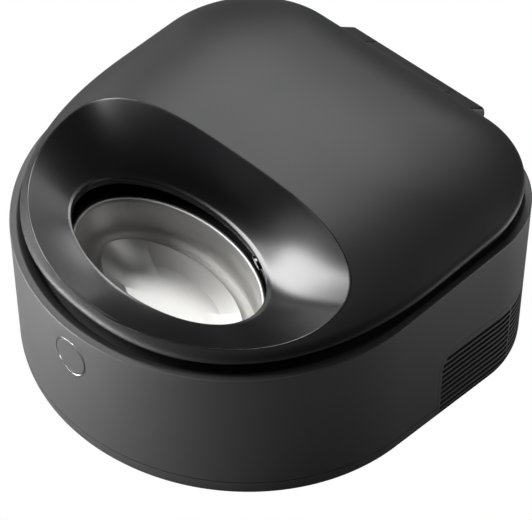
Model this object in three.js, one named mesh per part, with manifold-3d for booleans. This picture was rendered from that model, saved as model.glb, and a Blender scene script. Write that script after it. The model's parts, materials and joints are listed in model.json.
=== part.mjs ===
// Cooled wet food pet feeder: a sloping hinged lid with an oval dish, over a carousel of three steel bowls.
// Millimetres, +Z up. The front with the round button looks along -Y, the lid's hinge is at +Y.
import * as THREE from 'three';
import { mergeVertices } from 'three/addons/utils/BufferGeometryUtils.js';
import Module from 'manifold-3d';

const wasm = await Module();
wasm.setup();

// Clearances and overruns that the whole part shares
const seamGap = 0.3;
const runGap = 0.6;
const cutOverrun = 4;

// Steel bowls on the carousel; the axis leans with the deck, behind the front
const bowl = {
  halfLength: 82.2,
  halfWidth: 47.4,
  rimTop: -17.3,
  bead: 1.6,
  depth: 36,
  wall: 0.9,
  draft: 3.4,
  round: 11,
};
const beadDegrees = [-90, 0, 90];
const bowlCount = 3;
const bowlSpace = 8.9;
const axisY = -4;
const bowlTurn = Math.PI / bowlCount;
const bowlReach = Math.hypot(bowl.halfLength * Math.cos(bowlTurn), bowl.halfWidth * Math.sin(bowlTurn));
const bowlOrbit = (bowlReach + bowlSpace) / Math.sin(bowlTurn);

// Chamber round the bowls, with its flange on the deck
const chamberRoom = 2.7;
const chamberFloorRoom = 8.7;
const flangeWidth = 6.5;
const chamber = {
  radius: bowlOrbit + bowl.halfWidth + chamberRoom,
  wall: 2,
  floor: bowl.rimTop - bowl.depth - chamberFloorRoom,
  flangeThickness: 3,
};
const linerRadius = chamber.radius + chamber.wall;
const hubFloorGap = 2;
const insulationWall = 8;
const insulationFloor = 11.7;
const gasketWidth = 5;
const gasketLip = 2;
const tableRoom = 1.5;
const turntable = { thickness: 2.6, skirt: 8, skirtWall: 2, hubRadius: 13, land: 2.6 };

// Housing: straight back and sides, round rear corners, an oval front
const sideRoom = 31.4;
const backRoom = 26.8;
const frontRoom = 33.8;
const body = {
  halfWidth: chamber.radius + sideRoom,
  back: axisY + chamber.radius + backRoom,
  corner: 70.5,
  shoulder: -15.5,
  front: axisY - chamber.radius - frontRoom,
  power: 2,
};
const bodyWall = 2.6;
const seamHeight = 18.3;
const shoulderHeight = 125.7;
const shoulderSlope = THREE.MathUtils.degToRad(4.7);
const shoulderRound = 0.9;
const shoulderWidth = 5;
const grooveWidth = 6;
const grooveDrop = 4;
const grooveRise = 3.5;

// Sloping deck that carries the chamber and the lid; heights on it are measured square to it
const deckRise = 11.05;
const deckHeight = shoulderHeight + deckRise;
const deckSlope = THREE.MathUtils.degToRad(6.56);
const deckTop = -15.5;
const deckThickness = 2.4;

// Base pan with its drawn-in band, feet and screws
const panBottom = 1.5;
const panFloor = 2.4;
const bandInset = 9.5;
const panLipHeight = 6;
const panLip = 2;
const footRadius = 9;
const footRecess = 1;
const footInset = 27;
const bossRadius = 5;
const bossHeight = 44;
const bossInset = 16;
const frontBossShare = 0.27;
const rearBossX = 45;
const ribThickness = 2.2;
const screwRadius = 1.6;
const screwHeadRadius = 3;
const screwHeadHeight = 2.2;
const screwLength = 16;
const intakeSlot = { length: 52, width: 3.4, pitch: 7.4, count: 7 };

// Wrap-around grille in the right rear corner
const grille = { front: 22.5, back: 60, bottom: 5, top: 68.5, corner: 15, thickness: 2.4, margin: 2.6 };
const louvre = { pitch: 5.1, slot: 2.8, openLength: 72, groove: 0.9, first: 9.5 };

// Lid outline, a little inside the housing's, with its crown and rim
const lidShy = { side: 1.7, back: 2.2, front: 11.2, corner: 6.5, shoulder: 39.5 };
const lid = {
  halfWidth: body.halfWidth - lidShy.side,
  back: body.back - lidShy.back,
  corner: body.corner + lidShy.corner,
  shoulder: body.shoulder + lidShy.shoulder,
  front: body.front + lidShy.front,
  power: 2.27,
};
const lidMiddle = (lid.back + lid.front) / 2;
const lidRim = 3.5;
const lidCrown = 27;
const lidCrownPower = 4.4;
const lidRound = 4.6;
const lidChamfer = 0.7;
const lidWall = 2.4;
const lidSkin = 2.2;
const panelEdge = 12;
const panelDrop = 4;
const panelThickness = 2.4;
const panelRise = 0.6;
const panelMouthShare = 0.58;

// Opening over the front bowl, and the oval dish round it
const mouthOver = 1.6;
const mouthShort = 3.9;
const mouthShift = 2.6;
const opening = {
  halfWidth: bowl.halfLength + mouthOver,
  middle: axisY - bowlOrbit + mouthShift,
  half: bowl.halfWidth - mouthShort,
  height: -1.4,
};
const openingRound = 1.1;
const lipHeight = 5.4;
const lipWall = 1.8;
const dishMargin = { side: 24.7, front: 3.2, behind: 2.5, middle: 24.8 };
const dishMiddle = opening.middle + dishMargin.middle;
const dish = {
  halfWidth: lid.halfWidth - dishMargin.side,
  middle: dishMiddle,
  rear: axisY - dishMargin.behind - dishMiddle,
  front: dishMiddle - lid.front - dishMargin.front,
  rearPower: 2.8,
  frontPower: 1.88,
};
const dishSkin = 2;
const dishSkirt = 5;
const dishPower = 1.4;
const sensor = { angleDegrees: 52, halfWidth: 6.5, halfHeight: 1.7, depth: 1.1 };

// Hinge across the back
const hingeReach = 7.5;
const hingeRise = 2.3;
const hinge = {
  y: body.back + hingeReach,
  z: shoulderHeight + body.back * Math.tan(shoulderSlope) + hingeRise,
  radius: 7.5,
  innerHalf: 38.5,
  outerHalf: 64.1,
  knuckleDegrees: [-48, 92],
  armDegrees: [58, -180],
};
const hingeGap = 0.8;
const pinRadius = 2;
const pinBore = 0.25;
const pinInner = 18;
const pinOuter = 60;
const knuckleFoot = 24;
const knuckleReach = 4.4;

// Shutter under the lid
const shutterRoom = 2.5;
const shutter = { thickness: 1.6, gap: 0.7, spanDegrees: 113, restDegrees: 115, hub: 11, lift: 0.8 };
const shutterShaft = 2.5;
const lidMotor = { radius: 11, height: 8 };

// Drive under the chamber
const shaft = { radius: 3, top: 16, bearing: 8, bore: 4.6 };
const motor = { radius: 21, height: 24, shaftHole: 8, plate: 3, plateRadius: 27.5 };

// Cooling: cold plate, thermoelectric tile, heat sink and fan
const sink = { half: 42, base: 4, pedestal: 22, finHeight: 27, finCount: 13, fin: 1.6 };
const sinkRoom = 2.5;
const cold = { x: motor.plateRadius + sink.half + sinkRoom, y: 30, half: 30, thickness: 5 };
const tile = { half: 20, thickness: 3.8 };
const fan = { half: 30, depth: 15, setBack: 8, y: 66, bore: 27.5, hub: 12, blade: 1.6, tip: 26.3 };
const bladeCount = 7;
const fanX = body.halfWidth - fan.setBack - fan.depth;
const fanWebShare = 0.2;
const bladeTilt = THREE.MathUtils.degToRad(36);
const bladeTrim = 0.1;
const fanRise = 4.1;
const fanScrew = 24.5;
const fanScrewHole = 1.8;
const fanAxle = 3;

// Control board on the left of the pan, with its tallest parts
const board = { side: 87, y: -36, length: 92, width: 62, thickness: 1.6 };
const boardPost = { height: 8, radius: 3, inset: 5 };
const boardX = board.side - body.halfWidth;
const processor = { x: -28, y: 12, length: 16, width: 16, height: 2 };
const driverChip = { x: 10, y: 14, length: 26, width: 14, height: 3.2 };
const capacitor = { x: 30, y: -16, length: 12, width: 18, height: 9 };
const plugHeader = { x: -26, y: -18, length: 22, width: 8, height: 7 };
const chips = [processor, driverChip, capacitor, plugHeader];

// Front button
const buttonDrop = 39.4;
const buttonZ = shoulderHeight - buttonDrop;
const button = { radius: 13.6, gap: 0.3, ring: 14.9, holeGap: 0.3, cap: 3.4, travel: 1, stem: 3.5 };
const bezel = { sleeve: 9, flange: 19, flangeThickness: 1.8, back: 2, setBack: 4.6 };
const bezelPost = { radius: 1.6, inset: 2.4 };
const buttonSwitch = { half: 6, body: 3.6, plunger: 1.7, plungerLength: 1.6, plate: 11, plateThickness: 1.6 };

// Power socket in the back wall
const inlet = { x: -75, z: 36, radius: 5.6, bore: 3, flange: 7.4, flangeThickness: 1.2, length: 13, pin: 1 };

// How finely curves are cut
const backSteps = 2;
const cornerSteps = 7;
const sideSteps = 2;
const frontSteps = 11;
const bandSteps = 4;
const bendSteps = 4;
const roundSegments = 44;
const knobSegments = 28;
const smallSegments = 18;
const fineSegments = 12;
const ovalSegments = 36;
const arcSteps = 3;
const bowlSteps = 2;
const bowlSegments = 34;
const barrelSteps = 10;
const sectorSteps = 22;

// Colours
const finishes = {
  shell: { color: 0x3a3b3d, roughness: 0.55, metalness: 0 },
  dish: { color: 0x2b2c2e, roughness: 0.28, metalness: 0 },
  inner: { color: 0x17181a, roughness: 0.6, metalness: 0 },
  steel: { color: 0xc9c9c6, roughness: 0.28, metalness: 1 },
  alloy: { color: 0xa6a8ab, roughness: 0.45, metalness: 1 },
  rubber: { color: 0x1d1d1e, roughness: 0.85, metalness: 0 },
  foam: { color: 0xdad8d0, roughness: 0.95, metalness: 0 },
  board: { color: 0x1f5b3a, roughness: 0.5, metalness: 0 },
  ring: { color: 0x8d8f92, roughness: 0.3, metalness: 1 },
  lens: { color: 0x101114, roughness: 0.15, metalness: 0 },
  tile: { color: 0xe9e9e6, roughness: 0.6, metalness: 0 },
};

const feeder = new THREE.Group();
const deck = new THREE.Group();
deck.position.z = deckHeight;
deck.rotation.x = deckSlope;
feeder.add(deck);
const carousel = new THREE.Group();
carousel.position.y = axisY;
deck.add(carousel);
deck.updateMatrix();

// Merges the corners that lie together and drops the faces that a pole leaves empty.
function tidy(geometry) {
  const bare = geometry.clone();
  for (const name of Object.keys(bare.attributes)) {
    if (name !== 'position') bare.deleteAttribute(name);
  }
  const merged = mergeVertices(bare, 1e-4);
  const corners = merged.index.array;
  const kept = [];
  for (let i = 0; i < corners.length; i += 3) {
    const [a, b, c] = corners.slice(i, i + 3);
    if (a !== b && b !== c && c !== a) kept.push(a, b, c);
  }
  merged.setIndex(kept);
  return merged;
}

// Six times the volume inside a closed surface; below zero when its faces look inwards.
function signedVolume(geometry) {
  const place = geometry.attributes.position;
  const corners = geometry.index.array;
  const [a, b, c] = [new THREE.Vector3(), new THREE.Vector3(), new THREE.Vector3()];
  let total = 0;
  for (let i = 0; i < corners.length; i += 3) {
    a.fromBufferAttribute(place, corners[i]);
    b.fromBufferAttribute(place, corners[i + 1]);
    c.fromBufferAttribute(place, corners[i + 2]);
    total += a.dot(b.cross(c));
  }
  return total;
}

function facingOut(geometry) {
  const tidied = tidy(geometry);
  if (signedVolume(tidied) < 0) {
    const corners = Array.from(tidied.index.array);
    for (let i = 0; i < corners.length; i += 3) {
      [corners[i + 1], corners[i + 2]] = [corners[i + 2], corners[i + 1]];
    }
    tidied.setIndex(corners);
  }
  return tidied;
}

function solid(geometry) {
  const closed = facingOut(geometry);
  return new wasm.Manifold(new wasm.Mesh({
    numProp: 3,
    vertProperties: new Float32Array(closed.attributes.position.array),
    triVerts: new Uint32Array(closed.index.array),
  }));
}

function geometryOf(shape) {
  const mesh = shape.getMesh();
  const geometry = new THREE.BufferGeometry();
  geometry.setAttribute('position', new THREE.BufferAttribute(new Float32Array(mesh.vertProperties), 3));
  geometry.setIndex(new THREE.BufferAttribute(new Uint32Array(mesh.triVerts), 1));
  return geometry;
}

// Joins geometries into one, then takes others away from it.
function carve(additions, removals) {
  let shape = solid(additions[0]);
  for (const extra of additions.slice(1)) shape = shape.add(solid(extra));
  for (const removal of removals) shape = shape.subtract(solid(removal));
  return geometryOf(shape);
}

function piece(name, geometry, finish, parent = feeder) {
  const shown = facingOut(geometry).toNonIndexed();
  shown.computeVertexNormals();
  const mesh = new THREE.Mesh(shown, new THREE.MeshStandardMaterial(finishes[finish]));
  mesh.name = name;
  parent.add(mesh);
  return mesh;
}

// Half of an outline runs from the middle of the back to the middle of the front; the other half mirrors it.
function outline(shape, inset) {
  const { halfWidth, back, corner, shoulder, front, power } = shape;
  const cornerX = halfWidth - corner;
  const cornerY = back - corner;
  const depth = shoulder - front;
  const half = [];
  for (let i = 0; i < backSteps; i += 1) {
    half.push(new THREE.Vector2((cornerX * i) / backSteps, back - inset));
  }
  for (let i = 0; i <= cornerSteps; i += 1) {
    const angle = (Math.PI / 2) * (1 - i / cornerSteps);
    const reach = corner - inset;
    half.push(new THREE.Vector2(cornerX + reach * Math.cos(angle), cornerY + reach * Math.sin(angle)));
  }
  for (let i = 1; i < sideSteps; i += 1) {
    half.push(new THREE.Vector2(halfWidth - inset, THREE.MathUtils.lerp(cornerY, shoulder, i / sideSteps)));
  }
  for (let i = 0; i <= frontSteps; i += 1) {
    const angle = (Math.PI / 2) * (i / frontSteps);
    const across = Math.max(Math.cos(angle), 0) ** (2 / power);
    const along = Math.sin(angle) ** (2 / power);
    const lean = new THREE.Vector2(across ** (power - 1) / halfWidth, along ** (power - 1) / depth);
    lean.normalize();
    const x = i === frontSteps ? 0 : halfWidth * across - inset * lean.x;
    half.push(new THREE.Vector2(x, shoulder - depth * along + inset * lean.y));
  }
  const mirrored = half.slice(1, -1).reverse().map((p) => new THREE.Vector2(-p.x, p.y));
  return [...half, ...mirrored];
}

// An oval with its own half lengths and powers in front of and behind its widest line.
function oval({ halfWidth, middle, rear, front, rearPower, frontPower }, inset, count = ovalSegments) {
  return Array.from({ length: count }, (_, i) => {
    const angle = (2 * Math.PI * i) / count;
    const behind = Math.sin(angle) >= 0;
    const power = behind ? rearPower : frontPower;
    const half = behind ? rear : front;
    const across = Math.abs(Math.cos(angle)) ** (2 / power) * Math.sign(Math.round(Math.cos(angle) * 1e9));
    const along = Math.abs(Math.sin(angle)) ** (2 / power) * (behind ? 1 : -1);
    const lean = new THREE.Vector2(
      (Math.sign(across) * Math.abs(across) ** (power - 1)) / halfWidth,
      (Math.sign(along) * Math.abs(along) ** (power - 1)) / half,
    ).normalize();
    return new THREE.Vector2(halfWidth * across - inset * lean.x, middle + half * along - inset * lean.y);
  });
}

const openingOval = {
  halfWidth: opening.halfWidth,
  middle: opening.middle,
  rear: opening.half,
  front: opening.half,
  rearPower: 2,
  frontPower: 2,
};
const bowlOval = {
  halfWidth: bowl.halfLength,
  middle: -bowlOrbit,
  rear: bowl.halfWidth,
  front: bowl.halfWidth,
  rearPower: 2,
  frontPower: 2,
};

// Heights over the plan: level, along the housing's sloping shoulder, or along the deck
const level = (z) => () => z;
const onShoulder = (drop) => (x, y) => shoulderHeight - drop + y * Math.tan(shoulderSlope);
const onDeck = (square) => (x, y) => deckHeight + square / Math.cos(deckSlope) + y * Math.tan(deckSlope);

const ring = (plan, height) => plan.map((p) => new THREE.Vector3(p.x, p.y, height(p.x, p.y)));
const centre = (height, y = 0) => new THREE.Vector3(0, y, height(0, y));

// Skins rings of equal length in turn. Two poles close the ends; without them the last ring joins the first.
function skin(rings, poles) {
  const count = rings[0].length;
  const points = rings.flat();
  const corners = [];
  const pairs = poles ? rings.length - 1 : rings.length;
  for (let r = 0; r < pairs; r += 1) {
    const here = r * count;
    const next = ((r + 1) % rings.length) * count;
    for (let i = 0; i < count; i += 1) {
      const j = (i + 1) % count;
      corners.push(here + i, here + j, next + j, here + i, next + j, next + i);
    }
  }
  if (poles) {
    const first = points.length;
    const last = (rings.length - 1) * count;
    points.push(poles[0], poles[1]);
    for (let i = 0; i < count; i += 1) {
      const j = (i + 1) % count;
      corners.push(first, j, i, first + 1, last + i, last + j);
    }
  }
  const geometry = new THREE.BufferGeometry().setFromPoints(points);
  geometry.setIndex(corners);
  return geometry;
}

// A straight wall between two heights over a plan outline
function prism(plan, bottom, top) {
  const straight = { depth: top - bottom, bevelEnabled: false };
  return new THREE.ExtrudeGeometry(new THREE.Shape(plan), straight).translate(0, 0, bottom);
}

// Turns a profile of [radius, height] pairs about Z.
function turned(profile, segments = smallSegments) {
  const points = profile.map(([radius, height]) => new THREE.Vector2(radius, height));
  return new THREE.LatheGeometry(points, segments).rotateX(Math.PI / 2);
}

function rod(radius, bottom, top, segments = smallSegments) {
  return turned([[0, bottom], [radius, bottom], [radius, top], [0, top]], segments);
}

function tube(inner, outer, bottom, top, segments = smallSegments) {
  return turned([[inner, bottom], [outer, bottom], [outer, top], [inner, top], [inner, bottom]], segments);
}

function block(width, depth, height, x, y, z) {
  return new THREE.BoxGeometry(width, depth, height).translate(x, y, z + height / 2);
}

const ontoDeck = (geometry) => geometry.applyMatrix4(deck.matrix);
const alongY = (geometry) => geometry.rotateX(-Math.PI / 2);
const alongX = (geometry) => geometry.rotateY(Math.PI / 2);

// The base band draws in towards the floor as a quarter of an oval.
function bandAt(z) {
  const down = THREE.MathUtils.clamp((seamHeight - z) / (seamHeight - panBottom), 0, 1);
  return bandInset * (1 - Math.sqrt(1 - down * down));
}

// Where a length along the right wall, from the grille's front edge round the corner, lies in plan
const sideLength = body.back - body.corner - grille.front;
const cornerLength = (body.corner * Math.PI) / 2;
const backLength = body.halfWidth - body.corner - grille.back;
const grilleLength = sideLength + cornerLength + backLength;

function alongWall(length, inset) {
  if (length <= sideLength) return new THREE.Vector2(body.halfWidth - inset, grille.front + length);
  if (length <= sideLength + cornerLength) {
    const angle = (length - sideLength) / body.corner;
    const reach = body.corner - inset;
    return new THREE.Vector2(
      body.halfWidth - body.corner + reach * Math.cos(angle),
      body.back - body.corner + reach * Math.sin(angle),
    );
  }
  const past = length - sideLength - cornerLength;
  return new THREE.Vector2(body.halfWidth - body.corner - past, body.back - inset);
}

// The wall's own facets meet at these lengths, so that a slab's facets lie on them.
function stations(from, to, extra = []) {
  const facets = Array.from(
    { length: cornerSteps + 1 },
    (_, i) => sideLength + (cornerLength * i) / cornerSteps,
  );
  const inside = [...facets, ...extra].filter((length) => length > from && length < to);
  return [from, ...inside.sort((a, b) => a - b), to];
}

// A slab that follows the right wall and the band under it, between two heights and two insets
function wallSlab({ lengths, bottom, top, outer, inner, rows = 1 }) {
  const sections = lengths.map((length) => {
    const head = typeof top === 'function' ? top(length) : top;
    const seam = Math.min(seamHeight, head);
    const heights = Array.from({ length: rows }, (_, k) => (
      rows === 1 ? bottom : THREE.MathUtils.lerp(bottom, seam, k / (rows - 1))
    ));
    const at = (z, inset) => {
      const p = alongWall(length, inset + bandAt(z));
      return new THREE.Vector3(p.x, p.y, z);
    };
    return [
      ...[...heights, head].map((z) => at(z, outer)),
      ...[head, ...heights.reverse()].map((z) => at(z, inner)),
    ];
  });
  const middle = (section) => section
    .reduce((sum, p) => sum.add(p), new THREE.Vector3())
    .divideScalar(section.length);
  return skin(sections, [middle(sections[0]), middle(sections[sections.length - 1])]);
}

// The grille's top edge falls away in a quarter circle at either end.
function grilleTop(margin) {
  return (length) => {
    const end = Math.min(length, grilleLength - length) + margin;
    const radius = grille.corner + margin;
    const short = Math.max(radius - Math.max(end, 0), 0);
    return grille.top + margin - radius + Math.sqrt(Math.max(radius * radius - short * short, 0));
  };
}

function grilleSlab(margin, outer, inner) {
  const radius = grille.corner + margin;
  const bends = Array.from({ length: bendSteps }, (_, i) => (
    radius * (1 - Math.cos((Math.PI / 2) * ((i + 1) / bendSteps))) - margin
  ));
  const farBends = bends.map((bend) => grilleLength - bend);
  return wallSlab({
    lengths: stations(-margin, grilleLength + margin, [...bends, ...farBends]),
    bottom: grille.bottom - margin,
    top: grilleTop(margin),
    outer,
    inner,
    rows: bandSteps,
  });
}

// Outer housing: wall, sloping shoulder, groove under the lid's rim and deck plate, in one moulding
const housingPlan = (inset) => outline(body, inset);
const deckEdge = shoulderWidth + grooveWidth + grooveRise;
const ceiling = grooveDrop + deckThickness;
const housingSkin = skin([
  ring(housingPlan(deckEdge), onDeck(deckTop - deckThickness)),
  ring(housingPlan(shoulderWidth + grooveWidth), onShoulder(ceiling)),
  ring(housingPlan(bodyWall), onShoulder(ceiling)),
  ring(housingPlan(bodyWall), level(seamHeight + seamGap / 2)),
  ring(housingPlan(0), level(seamHeight + seamGap / 2)),
  ring(housingPlan(0), onShoulder(shoulderRound)),
  ring(housingPlan(shoulderRound * (1 - Math.SQRT1_2)), onShoulder(shoulderRound * (1 - Math.SQRT1_2))),
  ring(housingPlan(shoulderRound), onShoulder(0)),
  ring(housingPlan(shoulderWidth), onShoulder(0)),
  ring(housingPlan(shoulderWidth + grooveWidth), onShoulder(grooveDrop)),
  ring(housingPlan(deckEdge), onDeck(deckTop)),
], [centre(onDeck(deckTop - deckThickness)), centre(onDeck(deckTop))]);

const linerHole = ontoDeck(
  rod(linerRadius + runGap, deckTop - deckThickness - cutOverrun, deckTop + cutOverrun, roundSegments)
    .translate(0, axisY, 0),
);

// One hinge section: a barrel round the pin with a foot on the wall or an arm to the lid
function hingeSection(profile, from, to) {
  const shape = new THREE.Shape(profile.map(([across, up]) => new THREE.Vector2(across, up)));
  return new THREE.ExtrudeGeometry(shape, { depth: to - from, bevelEnabled: false })
    .rotateX(Math.PI / 2)
    .rotateZ(Math.PI / 2)
    .translate(from, 0, 0);
}

function barrelArc(y, z, [fromDegrees, toDegrees]) {
  return Array.from({ length: barrelSteps + 1 }, (_, i) => {
    const angle = THREE.MathUtils.degToRad(THREE.MathUtils.lerp(fromDegrees, toDegrees, i / barrelSteps));
    return [y + hinge.radius * Math.cos(angle), z + hinge.radius * Math.sin(angle)];
  });
}

const knuckleSill = shoulderHeight - shoulderRound - grooveDrop + body.back * Math.tan(shoulderSlope);
const knuckleProfile = [
  [body.back - knuckleReach, knuckleSill],
  [body.back - bodyWall / 2, knuckleSill],
  [body.back - bodyWall / 2, hinge.z - knuckleFoot],
  ...barrelArc(hinge.y, hinge.z, hinge.knuckleDegrees),
  [body.back - knuckleReach, hinge.z + hinge.radius],
];
const knuckleFrom = hinge.innerHalf + hingeGap;
const knuckles = [
  hingeSection(knuckleProfile, knuckleFrom, hinge.outerHalf),
  hingeSection(knuckleProfile, -hinge.outerHalf, -knuckleFrom),
];
const atHinge = (geometry) => alongX(geometry).translate(0, hinge.y, hinge.z);
const pinBores = [-1, 1].map((side) => atHinge(
  rod(pinRadius + pinBore, Math.min(side * pinInner, side * (pinOuter + seamGap)),
    Math.max(side * pinInner, side * (pinOuter + seamGap)), fineSegments),
));
const barrelNotch = atHinge(rod(
  hinge.radius + hingeGap,
  -hinge.innerHalf - hingeGap,
  hinge.innerHalf + hingeGap,
));

// Screw bosses stand inside the wall on ribs: two behind the oval front, two at the back
const frontBossAt = backSteps + cornerSteps + sideSteps + Math.round(frontSteps * frontBossShare);
const bossPlan = outline(body, bossInset);
const frontBoss = bossPlan[frontBossAt];
const bossPlaces = [
  frontBoss,
  new THREE.Vector2(-frontBoss.x, frontBoss.y),
  new THREE.Vector2(rearBossX, body.back - bossInset),
  new THREE.Vector2(-rearBossX, body.back - bossInset),
];
const panTop = panBottom + panFloor;
const bosses = bossPlaces.map((p) => rod(bossRadius, panTop + seamGap, bossHeight, fineSegments)
  .translate(p.x, p.y, 0));
const frontRoot = outline(body, bodyWall / 2)[frontBossAt];
const ribRoots = [
  frontRoot,
  new THREE.Vector2(-frontRoot.x, frontRoot.y),
  new THREE.Vector2(rearBossX, body.back - bodyWall / 2),
  new THREE.Vector2(-rearBossX, body.back - bodyWall / 2),
];
const ribBottom = seamHeight + panLipHeight + runGap;
const bossRibs = bossPlaces.map((p, i) => {
  const along = ribRoots[i].clone().sub(p);
  return block(along.length(), ribThickness, bossHeight - ribBottom, along.length() / 2, 0, ribBottom)
    .rotateZ(along.angle())
    .translate(p.x, p.y, 0);
});
const bossHoles = bossPlaces.map((p) => rod(
  screwRadius + seamGap,
  panTop - cutOverrun,
  panTop + screwLength + seamGap,
  fineSegments,
).translate(p.x, p.y, 0));

const buttonHole = alongY(rod(
  button.ring + button.holeGap,
  body.front - cutOverrun,
  body.front + 2 * cutOverrun,
  knobSegments,
)).translate(0, 0, buttonZ);
const inletHole = alongY(rod(
  inlet.radius + seamGap,
  body.back - bodyWall - cutOverrun,
  body.back + cutOverrun,
)).translate(inlet.x, 0, inlet.z);

piece('outer_housing', carve(
  [housingSkin, ...knuckles, ...bosses, ...bossRibs],
  [
    linerHole,
    barrelNotch,
    ...pinBores,
    ...bossHoles,
    buttonHole,
    inletHole,
    grilleSlab(seamGap, -cutOverrun, bodyWall + cutOverrun),
  ],
), 'shell');

// Grille: a moulded panel whose slots are open along the side and run on as blind grooves round the corner
function louvreStart(z) {
  const over = Math.max(z - (grille.top - grille.corner), 0);
  return grille.margin + grille.corner - Math.sqrt(grille.corner ** 2 - over ** 2);
}
const louvreRows = Math.floor((grille.top - grille.margin - louvre.first) / louvre.pitch);
const slots = [];
for (let row = 0; row <= louvreRows; row += 1) {
  const bottom = louvre.first + row * louvre.pitch;
  const top = bottom + louvre.slot;
  if (top < grille.top - grille.margin / 2) {
    const start = louvreStart(top);
    slots.push(wallSlab({
      lengths: stations(start, louvre.openLength),
      bottom,
      top,
      outer: -cutOverrun,
      inner: grille.thickness + cutOverrun,
    }));
    slots.push(wallSlab({
      lengths: stations(louvre.openLength + louvre.slot, grilleLength - start),
      bottom,
      top,
      outer: -cutOverrun,
      inner: louvre.groove,
    }));
  }
}
piece('vent_grille', carve([grilleSlab(0, 0, grille.thickness)], slots), 'shell');

// Base pan: drawn-in band, ledge for the housing, lip inside it, floor, posts and cradle
const panPlan = (inset) => outline(body, inset);
const bandRings = Array.from({ length: bandSteps + 1 }, (_, i) => {
  const rise = Math.sin((Math.PI / 2) * (i / bandSteps));
  const z = THREE.MathUtils.lerp(panBottom, seamHeight - seamGap / 2, rise);
  return ring(panPlan(bandAt(z)), level(z));
});
const lipOuter = bodyWall + seamGap;
const panSkin = skin([
  ...bandRings,
  ring(panPlan(lipOuter), level(seamHeight - seamGap / 2)),
  ring(panPlan(lipOuter), level(seamHeight + panLipHeight)),
  ring(panPlan(lipOuter + panLip), level(seamHeight + panLipHeight)),
  ring(panPlan(lipOuter + panLip), level(seamHeight - panLipHeight)),
  ring(panPlan(bandInset + panFloor), level(panTop)),
], [centre(level(panBottom)), centre(level(panTop))]);

const boardPosts = [[-1, -1], [-1, 1], [1, -1], [1, 1]].map(([sx, sy]) => rod(
  boardPost.radius,
  panTop - panFloor / 2,
  panTop + boardPost.height,
  fineSegments,
).translate(
  boardX + sx * (board.length / 2 - boardPost.inset),
  board.y + sy * (board.width / 2 - boardPost.inset),
  0,
));
const cradles = [-1, 1].map((side) => block(
  fan.depth,
  fanRise * 2,
  panFloor / 2 + fanRise - seamGap,
  fanX + fan.depth / 2,
  fan.y + side * (fan.half - fanRise * 2),
  panTop - panFloor / 2,
));
const intakes = Array.from({ length: intakeSlot.count }, (_, i) => block(
  intakeSlot.length,
  intakeSlot.width,
  panFloor + 2 * cutOverrun,
  cold.x,
  cold.y + (i - (intakeSlot.count - 1) / 2) * intakeSlot.pitch,
  panBottom - cutOverrun,
));
const screwSeat = bossPlaces.map((p) => turned([
  [0, panBottom - cutOverrun],
  [screwHeadRadius + seamGap, panBottom - cutOverrun],
  [screwHeadRadius + seamGap, panTop - screwHeadHeight / 2],
  [screwRadius + seamGap, panTop - screwHeadHeight / 2],
  [screwRadius + seamGap, panTop + cutOverrun],
  [0, panTop + cutOverrun],
], fineSegments).translate(p.x, p.y, 0));
const bossClear = bossPlaces.map((p) => rod(
  bossRadius + runGap,
  panTop + seamGap / 2,
  seamHeight + panLipHeight + cutOverrun,
  fineSegments,
).translate(p.x, p.y, 0));
const footPlan = outline(body, footInset);
const footPlaces = [
  footPlan[backSteps + Math.round(cornerSteps / 2)],
  footPlan[backSteps + cornerSteps + sideSteps + Math.round(frontSteps / 2)],
].flatMap((p) => [p, new THREE.Vector2(-p.x, p.y)]);
const footSeats = footPlaces.map((p) => rod(
  footRadius + seamGap,
  panBottom - cutOverrun,
  panBottom + footRecess,
).translate(p.x, p.y, 0));
piece('base_pan', carve([panSkin, ...boardPosts, ...cradles], [
  ...intakes,
  ...screwSeat,
  ...bossClear,
  ...footSeats,
  grilleSlab(seamGap, -cutOverrun, bodyWall + cutOverrun),
]), 'shell');

// Feet and base screws
const corners = ['rear_right', 'rear_left', 'front_right', 'front_left'];
footPlaces.forEach((p, i) => {
  const foot = turned([
    [0, 0],
    [footRadius - footRecess, 0],
    [footRadius, footRecess],
    [footRadius, panBottom + footRecess - seamGap],
    [0, panBottom + footRecess - seamGap],
  ]);
  piece(`foot_${corners[i]}`, foot.translate(p.x, p.y, 0), 'rubber');
});
const screwCorners = ['front_right', 'front_left', 'rear_right', 'rear_left'];
const screwTop = panTop - screwHeadHeight / 2 - seamGap;
bossPlaces.forEach((p, i) => {
  const screw = turned([
    [0, screwTop - screwHeadHeight / 2],
    [screwHeadRadius, screwTop - screwHeadHeight / 2],
    [screwHeadRadius, screwTop],
    [screwRadius, screwTop],
    [screwRadius, screwTop + screwLength],
    [0, screwTop + screwLength],
  ], fineSegments);
  piece(`base_screw_${screwCorners[i]}`, screw.translate(p.x, p.y, 0), 'steel');
});

// Chamber liner: a pressed tub that hangs by its flange on the deck
const flangeBottom = deckTop + seamGap;
const flangeTop = flangeBottom + chamber.flangeThickness;
const linerProfile = [
  [shaft.bore, chamber.floor - chamber.wall],
  [linerRadius, chamber.floor - chamber.wall],
  [linerRadius, flangeBottom],
  [linerRadius + flangeWidth, flangeBottom],
  [linerRadius + flangeWidth, flangeTop],
  [chamber.radius, flangeTop],
  [chamber.radius, chamber.floor],
  [shaft.bore, chamber.floor],
  [shaft.bore, chamber.floor - chamber.wall],
];
piece('chamber_liner', turned(linerProfile, roundSegments), 'inner', carousel);

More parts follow.
